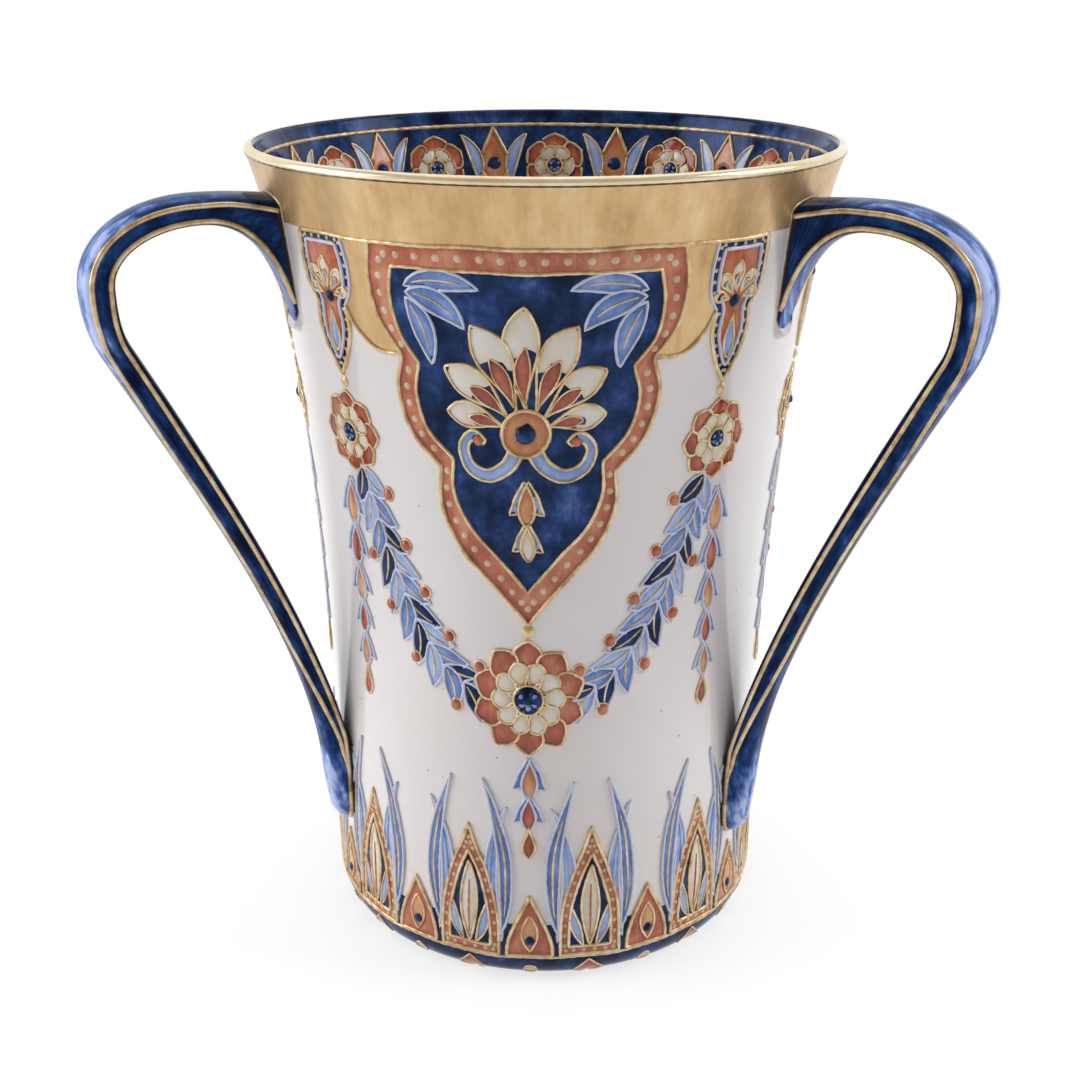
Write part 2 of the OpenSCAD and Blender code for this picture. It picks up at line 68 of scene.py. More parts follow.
# node helpers for the finishes
def addNode(tree, kind, inputs=None, **settings):
    made = tree.nodes.new(kind)
    for key, value in settings.items():
        setattr(made, key, value)
    for key, value in (inputs or {}).items():
        if isinstance(value, bpy.types.NodeSocket):
            tree.links.new(value, made.inputs[key])
        else:
            made.inputs[key].default_value = value
    return made


def sums(tree, kind, a, b):
    return addNode(tree, "ShaderNodeMath", {0: a, 1: b}, operation=kind).outputs[0]


def spread(tree, value, fromLow, fromHigh, toLow, toHigh):
    made = addNode(tree, "ShaderNodeMapRange", {"Value": value, "From Min": fromLow, "From Max": fromHigh,
                                               "To Min": toLow, "To Max": toHigh})
    return made.outputs["Result"]


def blend(tree, share, a, b):
    return addNode(tree, "ShaderNodeMix", {0: share, 6: a, 7: b}, data_type="RGBA").outputs[2]


def ramp(tree, share, stops):
    made = addNode(tree, "ShaderNodeValToRGB", {"Fac": share})
    keys = made.color_ramp.elements
    while len(keys) < len(stops):
        keys.new(0.5)
    for key, (place, tone) in zip(keys, stops):
        key.position = place
        key.color = (*tone, 1.0)
    return made.outputs["Color"]


def clouds(tree, where, scale, detail=4.0, rough=0.55):
    made = addNode(tree, "ShaderNodeTexNoise", {"Vector": where, "Scale": scale, "Detail": detail,
                                               "Roughness": rough})
    return made.outputs["Fac"]


# a noise that swings about zero
def sway(tree, noise, amount):
    return sums(tree, "MULTIPLY", sums(tree, "SUBTRACT", noise, 0.5), amount)


def painted(tree, name):
    return addNode(tree, "ShaderNodeAttribute", attribute_name=name).outputs["Fac"]


def freshFinish(name):
    finish = bpy.data.materials.new(name)
    finish.use_nodes = True
    tree = finish.node_tree
    shader = tree.nodes["Principled BSDF"]
    where = addNode(tree, "ShaderNodeTexCoord").outputs["Object"]
    return finish, tree, shader, where


def addBump(tree, shader, height, strength, distance):
    bump = addNode(tree, "ShaderNodeBump", {"Height": height, "Strength": strength, "Distance": distance})
    tree.links.new(bump.outputs["Normal"], shader.inputs["Normal"])


def setGloss(shader, coat, coatRough, shine=0.5, tint=(1.0, 1.0, 1.0)):
    shader.inputs["Coat Weight"].default_value = coat
    shader.inputs["Coat Roughness"].default_value = coatRough
    shader.inputs["Specular IOR Level"].default_value = shine
    shader.inputs["Specular Tint"].default_value = (*tint, 1.0)
    shader.inputs["IOR"].default_value = 1.5


whiteGlaze = {"pale": (0.83, 0.785, 0.765), "warm": (0.815, 0.745, 0.715), "warmScale": 26.0,
              "speck": (0.28, 0.27, 0.27), "speckCells": 230.0, "speckSize": 0.075, "speckShare": 0.8,
              "speckDepth": 0.6, "rough": (0.09, 0.17), "roughScale": 60.0, "ripple": 34.0,
              "pinholes": 420.0, "pinholeDepth": 0.06, "bump": 0.25, "coat": 0.4, "coatRough": 0.03}


def makeWhiteGlaze():
    look = whiteGlaze
    finish, tree, shader, where = freshFinish("whiteGlaze")
    warmth = spread(tree, clouds(tree, where, look["warmScale"]), 0.35, 0.7, 0.0, 1.0)
    tone = blend(tree, warmth, (*look["pale"], 1), (*look["warm"], 1))
    # small dark specks in a few of the cells
    cells = addNode(tree, "ShaderNodeTexVoronoi", {"Vector": where, "Scale": look["speckCells"]})
    near = sums(tree, "LESS_THAN", cells.outputs["Distance"], look["speckSize"])
    pick = addNode(tree, "ShaderNodeSeparateColor", {"Color": cells.outputs["Color"]})
    rare = sums(tree, "GREATER_THAN", pick.outputs[0], look["speckShare"])
    specks = sums(tree, "MULTIPLY", sums(tree, "MULTIPLY", near, rare), look["speckDepth"])
    tone = blend(tree, specks, tone, (*look["speck"], 1))
    tree.links.new(tone, shader.inputs["Base Color"])
    rough = spread(tree, clouds(tree, where, look["roughScale"]), 0.3, 0.7, *look["rough"])
    tree.links.new(rough, shader.inputs["Roughness"])
    fine = sums(tree, "MULTIPLY", clouds(tree, where, look["pinholes"], 2.0), look["pinholeDepth"])
    height = sums(tree, "ADD", clouds(tree, where, look["ripple"], 2.0), fine)
    addBump(tree, shader, height, look["bump"], 0.0008)
    setGloss(shader, look["coat"], look["coatRough"])
    return finish


# a washed colour: the ramp is read at base + brush streaks + clouds + how far in from the edge
# + how far along the shape (on a handle, its painted highlight and reflection); fine is how fine the
#   streaks break up
paintLook = {"brush": (1.0, 1.0, 0.4), "brushScale": 330.0, "fine": 5.0, "cloudScale": 130.0, "base": 0.5,
             "streak": 0.35, "cloud": 0.35, "edge": 0.0, "along": 0.0, "gloss": 0.08, "uneven": 0.08,
             "bump": 0.10, "bumpScale": 260.0, "coat": 0.2, "coatRough": 0.04, "shine": 0.4,
             "tint": (1.0, 1.0, 1.0)}


# brush strokes run up the wall, or along a handle where brush is None
def strokes(tree, where, brush):
    if brush is None:
        along = {"X": painted(tree, "run"), "Y": painted(tree, "across")}
        return addNode(tree, "ShaderNodeCombineXYZ", along).outputs[0]
    return addNode(tree, "ShaderNodeMapping", {"Vector": where, "Scale": brush}).outputs["Vector"]


def makePaint(name, changes):
    look = {**paintLook, **changes}
    finish, tree, shader, where = freshFinish(name)
    streak = clouds(tree, strokes(tree, where, look["brush"]), look["brushScale"], look["fine"], 0.62)
    cloud = clouds(tree, where, look["cloudScale"], 4.0, 0.6)
    wash = sums(tree, "ADD", look["base"], sway(tree, streak, look["streak"]))
    wash = sums(tree, "ADD", wash, sway(tree, cloud, look["cloud"]))
    wash = sums(tree, "ADD", wash, sums(tree, "MULTIPLY", painted(tree, "edge"), look["edge"]))
    wash = sums(tree, "ADD", wash, sums(tree, "MULTIPLY", painted(tree, "along"), look["along"]))
    tree.links.new(ramp(tree, wash, look["stops"]), shader.inputs["Base Color"])
    rough = spread(tree, cloud, 0.3, 0.7, look["gloss"], look["gloss"] + look["uneven"])
    tree.links.new(rough, shader.inputs["Roughness"])
    height = sums(tree, "ADD", clouds(tree, where, look["bumpScale"], 2.0), streak)
    addBump(tree, shader, height, look["bump"], 0.0003)
    setGloss(shader, look["coat"], look["coatRough"], look["shine"], look["tint"])
    return finish


# what each wash changes; its stops run from dark to light
# on a handle the pale end of this ramp is painted highlight and reflection, reached through the along
# values
handleLook = {"stops": [(0.0, (0.0005, 0.001, 0.008)), (0.22, (0.0015, 0.005, 0.035)),
                        (0.42, (0.004, 0.026, 0.10)), (0.6, (0.018, 0.06, 0.21)), (0.8, (0.11, 0.20, 0.50)),
                        (1.0, (0.48, 0.57, 0.88))],
              "brush": None, "brushScale": 420.0, "fine": 2.0, "cloudScale": 150.0, "base": 0.20,
              "streak": 1.1, "cloud": 0.9, "edge": 0.18, "along": 0.85, "gloss": 0.07, "coat": 0.0,
              "shine": 0.16, "tint": (0.30, 0.45, 1.0)}
# the face under the arch is paler, as painted reflection, and less bright than the back
underLook = {**handleLook, "streak": 0.8, "cloud": 0.4, "gloss": 0.22, "shine": 0.04}
cobaltLook = {"stops": [(0.0, (0.0005, 0.001, 0.02)), (0.3, (0.005, 0.012, 0.042)),
                        (0.5, (0.011, 0.032, 0.10)), (0.7, (0.028, 0.062, 0.20)),
                        (1.0, (0.10, 0.19, 0.42))],
              "base": 0.41, "streak": 0.7, "cloud": 1.7, "edge": 0.10, "coat": 0.0, "shine": 0.25,
              "tint": (0.4, 0.55, 1.0)}
midBlueLook = {"stops": [(0.0, (0.008, 0.03, 0.14)), (0.35, (0.035, 0.10, 0.34)),
                         (0.65, (0.13, 0.25, 0.60)), (1.0, (0.42, 0.54, 0.82))],
               "base": 0.36, "streak": 0.6, "cloud": 0.9, "edge": 0.24, "along": 0.25}
paleBlueLook = {"stops": [(0.0, (0.05, 0.13, 0.42)), (0.4, (0.18, 0.31, 0.66)), (0.7, (0.40, 0.52, 0.80)),
                          (1.0, (0.66, 0.73, 0.87))],
                "base": 0.40, "streak": 0.6, "cloud": 0.8, "edge": 0.24, "along": 0.15}
rustLook = {"stops": [(0.0, (0.13, 0.016, 0.012)), (0.35, (0.34, 0.055, 0.028)),
                      (0.65, (0.50, 0.12, 0.055)), (1.0, (0.66, 0.27, 0.14))],
            "base": 0.46, "streak": 1.2, "cloud": 1.1, "edge": 0.32, "along": -0.24}
emberLook = {"stops": [(0.0, (0.36, 0.07, 0.03)), (0.4, (0.56, 0.19, 0.07)), (0.7, (0.72, 0.38, 0.18)),
                       (1.0, (0.80, 0.60, 0.38))],
             "base": 0.20, "streak": 0.9, "cloud": 0.8, "edge": 0.28, "along": 0.36}
creamLook = {"stops": [(0.0, (0.42, 0.20, 0.10)), (0.3, (0.62, 0.42, 0.24)), (0.65, (0.78, 0.67, 0.50)),
                       (1.0, (0.82, 0.79, 0.73))],
             "base": 0.34, "streak": 0.7, "cloud": 0.6, "edge": 0.2, "along": 0.48}
paleLineLook = {"stops": [(0.0, (0.36, 0.40, 0.60)), (0.5, (0.62, 0.63, 0.74)), (1.0, (0.80, 0.79, 0.80))],
                "base": 0.5, "streak": 0.3, "cloud": 0.8, "coat": 0.4}
# a dark brown line, painted shade along the lower edge of the rounded lip
lipShadeLook = {"stops": [(0.0, (0.03, 0.018, 0.012)), (1.0, (0.20, 0.12, 0.06))], "base": 0.4, "cloud": 0.8}
goldLook = {"stops": [(0.15, (0.50, 0.30, 0.125)), (0.5, (0.68, 0.445, 0.21)), (0.85, (0.80, 0.58, 0.33))],
            "brush": (1.0, 1.0, 0.12), "grain": 0.35, "gloss": (0.28, 0.36), "metal": 0.6, "bump": 0.05}
# the gold on the lip is painted paler than the band, as the highlight along its rounded edge
lipHighlightLook = {"stops": [(0.2, (0.80, 0.62, 0.34)), (0.5, (0.88, 0.73, 0.45)), (0.8, (0.92, 0.82, 0.58))],
           "brush": (1.0, 1.0, 1.0), "grain": 0.3, "gloss": (0.2, 0.3), "metal": 0.55, "bump": 0.04}
goldLineLook = {"stops": [(0.2, (0.42, 0.25, 0.10)), (0.5, (0.72, 0.51, 0.26)), (0.8, (0.87, 0.72, 0.48))],
                "brush": (1.0, 1.0, 1.0), "grain": 0.6, "gloss": (0.26, 0.42), "metal": 0.5, "bump": 0.12}
# noise scales that the golds share
goldScales = {"streak": 300.0, "patch": 48.0, "dent": 300.0}


def makeGold(name, look):
    finish, tree, shader, where = freshFinish(name)
    streak = clouds(tree, strokes(tree, where, look["brush"]), goldScales["streak"], 6.0, 0.66)
    patch = clouds(tree, where, goldScales["patch"], 5.0, 0.6)
    mixed = sums(tree, "ADD", sums(tree, "MULTIPLY", streak, look["grain"]),
                 sums(tree, "MULTIPLY", patch, 1 - look["grain"]))
    tone = ramp(tree, spread(tree, mixed, 0.3, 0.7, 0.0, 1.0), look["stops"])
    tree.links.new(tone, shader.inputs["Base Color"])
    low, high = look["gloss"]
    tree.links.new(spread(tree, mixed, 0.35, 0.65, high, low), shader.inputs["Roughness"])
    shader.inputs["Metallic"].default_value = look["metal"]
    addBump(tree, shader, clouds(tree, where, goldScales["dent"], 1.0), look["bump"], 0.0004)
    return finish


# slip round a joint: dark against the handle, painted shade in the crease there, pale on the wall
slipLook = {"stops": [(0.06, (0.012, 0.009, 0.010)), (0.24, (0.05, 0.028, 0.020)),
                      (0.40, (0.42, 0.34, 0.30)), (0.6, (0.82, 0.78, 0.76))],
            "uneven": 0.25, "unevenScale": 300.0, "rough": 0.3, "grain": 500.0, "shine": 0.12}


def makeJointSlip():
    look = slipLook
    finish, tree, shader, where = freshFinish("jointSlip")
    noise = sway(tree, clouds(tree, where, look["unevenScale"]), look["uneven"])
    uneven = sums(tree, "ADD", painted(tree, "edge"), noise)
    tree.links.new(ramp(tree, uneven, look["stops"]), shader.inputs["Base Color"])
    shader.inputs["Roughness"].default_value = look["rough"]
    addBump(tree, shader, clouds(tree, where, look["grain"]), 0.15, 0.0003)
    setGloss(shader, 0.0, 0.04, look["shine"])
    return finish


biscuitLook = {"stops": [(0.3, (0.42, 0.33, 0.25)), (0.7, (0.66, 0.56, 0.45))], "grain": 900.0,
               "rough": 0.85}


def makeBiscuit():
    look = biscuitLook
    finish, tree, shader, where = freshFinish("biscuitFoot")
    grain = clouds(tree, where, look["grain"], 6.0, 0.7)
    tree.links.new(ramp(tree, grain, look["stops"]), shader.inputs["Base Color"])
    shader.inputs["Roughness"].default_value = look["rough"]
    addBump(tree, shader, grain, 0.5, 0.0004)
    return finish


white = makeWhiteGlaze()
biscuit = makeBiscuit()
jointSlip = makeJointSlip()
handleGlaze = makePaint("handleGlaze", handleLook)
underGlaze = makePaint("underGlaze", underLook)
gold = makeGold("satinGold", goldLook)
lipHighlightGold = makeGold("lipHighlightGold", lipHighlightLook)
goldLine = makeGold("goldLine", goldLineLook)
cobalt = makePaint("cobaltWash", cobaltLook)
paints = {"cobalt": (cobalt, "cobalt_glaze"),
          "midBlue": (makePaint("midBlueWash", midBlueLook), "blue_glaze"),
          "paleBlue": (makePaint("paleBlueWash", paleBlueLook), "blue_glaze"),
          "rust": (makePaint("rustWash", rustLook), "rust_glaze"),
          "ember": (makePaint("emberWash", emberLook), "rust_glaze"),
          "cream": (makePaint("creamWash", creamLook), "slip"),
          "paleLine": (makePaint("paleLine", paleLineLook), "slip"),
          "umber": (makePaint("umberLine", lipShadeLook), "gilding"),
          "goldLine": (goldLine, "gilt_slip"),
          "gold": (gold, "gilding")}
print("finishes made")


# a mesh piece from points in millimetres
def addPiece(name, points, faces, finishes, standsFor=(), values=None, which=None):
    mesh = bpy.data.meshes.new(name)
    mesh.from_pydata((np.asarray(points, float) * mm).tolist(), [], faces)
    for key, numbers in (values or {}).items():
        column = mesh.attributes.new(key, "FLOAT", "POINT")
        column.data.foreach_set("value", np.asarray(numbers, np.float32))
    for finish in finishes:
        mesh.materials.append(finish)
    mesh.polygons.foreach_set("use_smooth", np.ones(len(mesh.polygons), bool))
    if which is not None:
        mesh.polygons.foreach_set("material_index", np.asarray(which, np.int32))
    mesh.update()
    piece = bpy.data.objects.new(name, mesh)
    scene.collection.objects.link(piece)
    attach(piece, "root")
    if standsFor:
        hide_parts(*standsFor)


# quads between rings of points that have the same count
def ringFaces(rings, count, closed=True, flip=False):
    i, j = np.meshgrid(np.arange(rings - 1), np.arange(count if closed else count - 1), indexing="ij")
    n = (j + 1) % count
    corners = [i * count + j, i * count + n, (i + 1) * count + n, (i + 1) * count + j]
    quads = np.stack(corners, -1).reshape(-1, 4)
    return (quads[:, ::-1] if flip else quads).tolist()


# the thrown wall, in millimetres, with the same sizes as the solid
cup = {"height": 200.0, "footD": 112.4, "rimD": 142.8, "draft": 1.3, "flareStart": 50.0, "flarePower": 2.5,
       "lipTurnH": 12.0, "lipTurn": 1.1, "wallT": 4.2, "lipT": 2.4, "floorT": 5.0, "floorR": 10.0,
       "cornerR": 7.0, "footRing": 4.5, "recess": 2.4, "round": 288}
# rows of the mesh up the wall, over the lip's turn, down the inside and round each curve
bodyRows = {"wall": 90, "turn": 14, "inside": 70, "corner": 14, "lip": 11, "floor": 12}
handleTurns = {"FrontRight": -30.0, "FrontLeft": 207.0, "Back": 90.0}
nodeEnds = {"FrontRight": "front_right", "FrontLeft": "front_left", "Back": "back"}


def wallR(z):
    z = np.asarray(z, float)
    flare = (cup["rimD"] - cup["footD"]) / 2 - cup["draft"] - cup["lipTurn"]
    opened = np.maximum(0.0, z - cup["flareStart"]) / (cup["height"] - cup["flareStart"])
    lip = np.maximum(0.0, z - cup["height"] + cup["lipTurnH"]) / cup["lipTurnH"]
    lean = cup["footD"] / 2 + cup["draft"] * z / cup["height"]
    return lean + flare * opened ** cup["flarePower"] + cup["lipTurn"] * lip ** 2


def innerR(z):
    return wallR(z) - (cup["wallT"] + (cup["lipT"] - cup["wallT"]) * np.asarray(z, float) / cup["height"])


footR = float(wallR(cup["cornerR"])) - cup["cornerR"]
lipR = cup["lipT"] / 2
lipZ = cup["height"] - lipR


# radius and height of a point on the outside, h millimetres up the profile and lifted off it
def outside(h, lift):
    h = np.asarray(h, float)
    corner = cup["cornerR"]
    swing = np.clip((corner - h) / corner, 0.0, math.pi / 2)
    slope = (wallR(h + 0.05) - wallR(h - 0.05)) / 0.1
    length = np.sqrt(1 + slope ** 2)
    onWall = h >= corner
    r = np.where(onWall, wallR(h) + lift / length, footR + (corner + lift) * np.cos(swing))
    z = np.where(onWall, h - lift * slope / length, corner - (corner + lift) * np.sin(swing))
    return r, z


def inside(h, lift):
    h = np.asarray(h, float)
    slope = (innerR(h + 0.05) - innerR(h - 0.05)) / 0.1
    length = np.sqrt(1 + slope ** 2)
    return innerR(h) - lift / length, h + lift * slope / length


def turned(r, angle, z):
    return np.stack([r * np.cos(angle), r * np.sin(angle), z + 0.0 * r], -1)


def lathe(profile, count):
    angles = np.arange(count) * 2 * math.pi / count
    rings = [turned(np.full(count, r), angles, np.full(count, z)) for r, z in profile]
    return np.concatenate(rings), ringFaces(len(profile), count)


def arc(cx, cz, radius, start, end, count):
    swing = np.radians(np.linspace(start, end, count))
    return [(cx + radius * math.cos(a), cz + radius * math.sin(a)) for a in swing]


def makeBody():
    floorZ = cup["recess"] + cup["floorT"]
    recessR = footR - cup["footRing"]
    bend = cup["height"] - cup["lipTurnH"]
    wall = np.linspace(cup["cornerR"], bend, bodyRows["wall"], endpoint=False)
    up = np.concatenate([wall, np.linspace(bend, lipZ, bodyRows["turn"])])
    fall = np.linspace(bend, floorZ + cup["floorR"], bodyRows["inside"])
    down = np.concatenate([np.linspace(lipZ, bend, bodyRows["turn"]), fall[1:]])
    profile = [(0.01, cup["recess"]), (recessR - cup["recess"] - 1.0, cup["recess"])]
    profile += [(recessR - cup["recess"], cup["recess"] - 0.15), (recessR - 0.5, 0.45)]
    profile += [(recessR, 0.1), (recessR + 0.4, 0.0)]
    profile += arc(footR, cup["cornerR"], cup["cornerR"], -90, -3, bodyRows["corner"])
    profile += [(float(wallR(z)), z) for z in up]
    lipStart = len(profile)
    profile += arc(float(wallR(lipZ)) - lipR, lipZ, lipR, 15, 165, bodyRows["lip"])
    profile += [(float(innerR(z)), z) for z in down]
    cornerX = float(innerR(floorZ + cup["floorR"])) - cup["floorR"]
    profile += arc(cornerX, floorZ + cup["floorR"], cup["floorR"], -4, -90, bodyRows["floor"])
    profile += [(30.0, floorZ + 0.05), (15.0, floorZ + 0.2), (0.01, floorZ + 0.25)]
    points, faces = lathe(profile, cup["round"])
    rows = np.arange(len(faces)) // cup["round"]
    # the foot ring is bare, and the blue runs over the inner half of the lip
    bare = (rows >= 2) & (rows <= 7)
    overLip = (rows >= lipStart + 6) & (rows <= lipStart + 12)
    glazes = np.where(bare, 1, np.where(overLip, 2, 0))
    addPiece("cupBody", points, faces, [white, biscuit, cobalt], ["cup_body"], which=glazes)


makeBody()
print("body thrown")


# strap handles, with the same curves as the solid
strap = {"reach": 111.8, "drop": 7.8, "archStart": 85.0, "archH": 19.6, "elbowH": 15.6, "elbowIn": 3.8,
         "spurH": 31.7, "joinZ": 50.0, "tipZ": 29.0, "tipL": 6.5, "strapT": 6.9, "legT": 6.9, "domeT": 2.1,
         "underT": 0.65, "tailT": 6.9, "tipT": 5.3, "strapW": 12.0, "legW": 8.4, "tailW": 10.8,
         "spurTaper": 0.6, "spurRound": 2.6, "seat": 0.45, "fine": 4, "flare": 0.8}
# half of the section from the back to the inner edge, on the free strap: shares of the rounded back, of the
# side face and of the inner rounding, and of the half width; on the rounded lower end: share of the way
# across and of the half width
sectionShares = np.array([[0, 0, 0, 0, 0, 0], [0.15, 0, 0, 0.42, 0.08, 0.42], [0.5, 0, 0, 0.8, 0.29, 0.74],
                          [1, 0, 0, 1, 0.6, 0.95], [1, 0.5, 0, 0.97, 0.86, 1], [1, 1, 0, 1, 1, 0.9],
                          [1, 1, 0.45, 0.86, 1, 0.7], [1, 1, 0.85, 0.5, 1, 0.4], [1, 1, 1, 0, 1, 0]])


# smooth rows between given ones, with no overshoot
def evenRows(rows, fine):
    step = np.diff(rows, axis=0)
    both = step[:-1] * step[1:]
    total = np.where(step[:-1] + step[1:] == 0, 1, step[:-1] + step[1:])
    inner = np.where(both > 0, 2 * both / total, 0.0)
    slope = np.concatenate([step[:1], inner, step[-1:]])
    out = []
    for i in range(len(rows) - 1):
        for t in np.arange(fine) / fine:
            a = (1 + 2 * t) * (1 - t) ** 2
            b = t * (1 - t) ** 2
            c = t * t * (3 - 2 * t)
            d = t * t * (t - 1)
            out.append(a * rows[i] + b * slope[i] + c * rows[i + 1] + d * slope[i + 1])
    out.append(rows[-1])
    return np.array(out)


def bezier(p, t):
    return (1 - t) ** 3 * p[0] + 3 * (1 - t) ** 2 * t * p[1] + 3 * (1 - t) * t * t * p[2] + t ** 3 * p[3]


def shared(a, b, first, second):
    return [a, a + np.array(first) * (b - a), a + np.array(second) * (b - a), b]


# stretches of a handle: outer edge, inner edge, half widths, tapers, how far the section rounds off
# (start, end, power), rings
def strapStretches():
    s = strap
    topZ = cup["height"] - s["drop"]
    outZ = topZ - s["archH"]
    spurZ = topZ - s["spurH"]
    elbow = np.array([s["reach"] - s["elbowIn"], outZ - s["elbowH"]])
    elbowInside = elbow - np.array([0.89, -0.46]) * s["legT"]
    join = np.array([wallR(s["joinZ"]) + s["tailT"], s["joinZ"]])
    sag = 0.15 * s["strapT"]
    root = np.array([wallR(topZ - sag), topZ - sag])
    crown = np.array([s["archStart"], topZ])
    spurFoot = np.array([wallR(spurZ) + 0.6, spurZ])
    underArch = np.array([s["archStart"], topZ - s["strapT"]])
    innerOut = np.array([s["reach"] - 1.12 * s["strapT"], outZ + 0.1 * s["strapT"]])
    sink = 0.05 * s["legT"]
    legLie = np.array([wallR(s["joinZ"]) - sink, s["joinZ"]])
    roundZ = s["tipZ"] + s["tipL"]
    thumb = np.array([wallR(roundZ) + s["tipT"], roundZ])
    farOut = np.array([s["reach"], outZ])
    tailEnd = np.array([wallR(roundZ) - sink, roundZ])
    legStart = (s["strapW"] + s["legW"]) / 4
    return [
        (shared(root, crown, (0.33, 0.7), (0.67, 1)),
         shared(spurFoot, underArch, (0.113, 0.562), (0.41, 1)),
         (0.57 * s["strapW"], 0.5 * s["strapW"]), (s["spurTaper"], 0), (0, 0, 1), 26),
        (shared(crown, farOut, (0.56, 0), (1, 0.4)), shared(underArch, innerOut, (0.5, 0), (1, 0.4)),
         (0.5 * s["strapW"], 0.47 * s["strapW"]), (0, 0), (0, 0, 1), 26),
        (shared(farOut, elbow, (0, 0.32), (0.33, 0.7)),
         shared(innerOut, elbowInside, (0, 0.3), (0.05, 0.7)),
         (0.47 * s["strapW"], legStart), (0, -0.12), (0, 0, 1), 14),
        (shared(elbow, join, (0.44, 0.336), (0.915, 0.694)),
         shared(elbowInside, legLie, (0.425, 0.329), (0.865, 0.699)),
         (legStart, s["tailW"] / 2), (-0.12, 0), (0, 0.4, 4), 56),
        (shared(join, thumb, (0.2, 0.36), (0.55, 0.72)), shared(legLie, tailEnd, (0.3, 0.3), (0.7, 0.7)),
         (0.5 * s["tailW"], 0.49 * s["tailW"]), (0, 0), (0.4, 1, 0.6), 22),
    ]


def strapRing(outer, inner, half, narrow, rounded, onWall, rows):
    s = strap
    across = np.linalg.norm(inner - outer)
    under = s["underT"] + (s["spurRound"] - s["underT"]) * max(0.0, narrow) / s["spurTaper"]
    flat = across - s["domeT"] - under
    free = (rows[:, 0] * s["domeT"] + rows[:, 1] * flat + rows[:, 2] * under) / across
    v = free + (rows[:, 4] - free) * rounded
    w = rows[:, 3] + (rows[:, 5] - rows[:, 3]) * rounded
    spots = outer + np.outer(v, inner - outer)
    t = half * w * (1 - narrow * v)
    seat = np.sqrt((wallR(spots[:, 1]) + s["seat"]) ** 2 - t ** 2)
    r = seat if onWall else np.maximum(spots[:, 0], seat)
    one = np.stack([r, t, spots[:, 1]], -1)
    other = one[-2:0:-1] * np.array([1, -1, 1])
    return np.concatenate([one, other])


def strapRings():
    s = strap
    rows = evenRows(sectionShares, s["fine"])
    stretches = strapStretches()
    rings = []
    roundness = []
    for i, (outer, inner, halves, tapers, rounds, count) in enumerate(stretches):
        last = i == len(stretches) - 1
        for u in np.arange(count + (1 if last else 0)) / count:
            half = halves[0] + (halves[1] - halves[0]) * u
            # the long leg is slimmest at its middle
            if i == 3:
                half += (s["legW"] / 2 - sum(halves) / 2) * math.sin(math.pi * u)
            # the joint spreads on the wall
            if i == 0:
                half += s["flare"] * (1 - u) ** 4
            rounded = rounds[0] + (rounds[1] - rounds[0]) * u ** rounds[2]
            narrow = tapers[0] + (tapers[1] - tapers[0]) * u
            onWall = i == 0 and u == 0
            rings.append(strapRing(bezier(outer, u), bezier(inner, u), half, narrow, rounded, onWall, rows))
            roundness.append(rounded)
    roundZ = s["tipZ"] + s["tipL"]
    for turn in np.radians([10, 20, 30, 40, 49, 57, 64, 71, 77, 82, 86]):
        z = roundZ - s["tipL"] * math.sin(turn)
        r = float(wallR(z))
        outer = np.array([r + s["tipT"] * math.cos(turn), z])
        inner = np.array([r - 0.3, z])
        rings.append(strapRing(outer, inner, 0.49 * s["tailW"] * math.cos(turn), 0, 1, False, rows))
        roundness.append(1.0)
    return np.array(rings), np.array(roundness)


def spin(points, degrees):
    a = math.radians(degrees)
    c, s = math.cos(a), math.sin(a)
    return np.asarray(points) @ np.array([[c, s, 0], [-s, c, 0], [0, 0, 1]])


# a round bead along a path that lies on a surface, with its own radius at each point
def tube(path, radius, out, sides=8, closed=False):
    count = len(path)
    radius = np.broadcast_to(np.asarray(radius, float), (count,))
    ahead = np.roll(path, -1, 0) - np.roll(path, 1, 0) if closed else np.gradient(path, axis=0)
    ahead = ahead / np.maximum(np.linalg.norm(ahead, axis=1, keepdims=True), 1e-9)
    side = np.cross(ahead, out)
    side /= np.maximum(np.linalg.norm(side, axis=1, keepdims=True), 1e-9)
    up = np.cross(side, ahead)
    swing = np.arange(sides) * 2 * math.pi / sides
    ring = np.cos(swing)[None, :, None] * side[:, None, :] + np.sin(swing)[None, :, None] * up[:, None, :]
    points = (path[:, None, :] + ring * radius[:, None, None]).reshape(-1, 3)
    faces = ringFaces(count, sides, flip=True)
    last = (count - 1) * sides
    if closed:
        faces += [[j, (j + 1) % sides, last + (j + 1) % sides, last + j] for j in range(sides)]
    else:
        faces += [list(range(sides)), list(range(last, last + sides))[::-1]]
    return points, faces


def joined(parts):
    points, faces = [], []
    start = 0
    for more, extra in parts:
        points.append(more)
        faces += [[start + i for i in face] for face in extra]
        start += len(more)
    return np.concatenate(points), faces


# painted highlight and reflection on a handle, and its paler lower end; stations count along it, rows from
# its back to its inner edge
handleWashAndLight = {"at": [0, 14, 26, 38, 48, 60, 68, 90, 122],
              "back": [0.1, 0.34, 0.5, 0.82, 1.05, 1.0, 0.6, 0.26, 0.3], "backRow": 1.7, "backWide": 2.3,
              "tail": 0.9, "tailStart": 30, "tailRun": 20, "tailWide": 6.5,
              "spurAt": [0, 16, 34], "spur": [0.66, 0.6, 0.0], "underRow": 5.3, "underRun": 1.2,
              "tipAt": [0, 4, 9], "tip": [0.6, 0.4, 0.0], "tipRow": 4.2, "tipRun": 0.8,
              "sideRow": 3.95, "sideWide": 0.75, "stretch": 0.3}
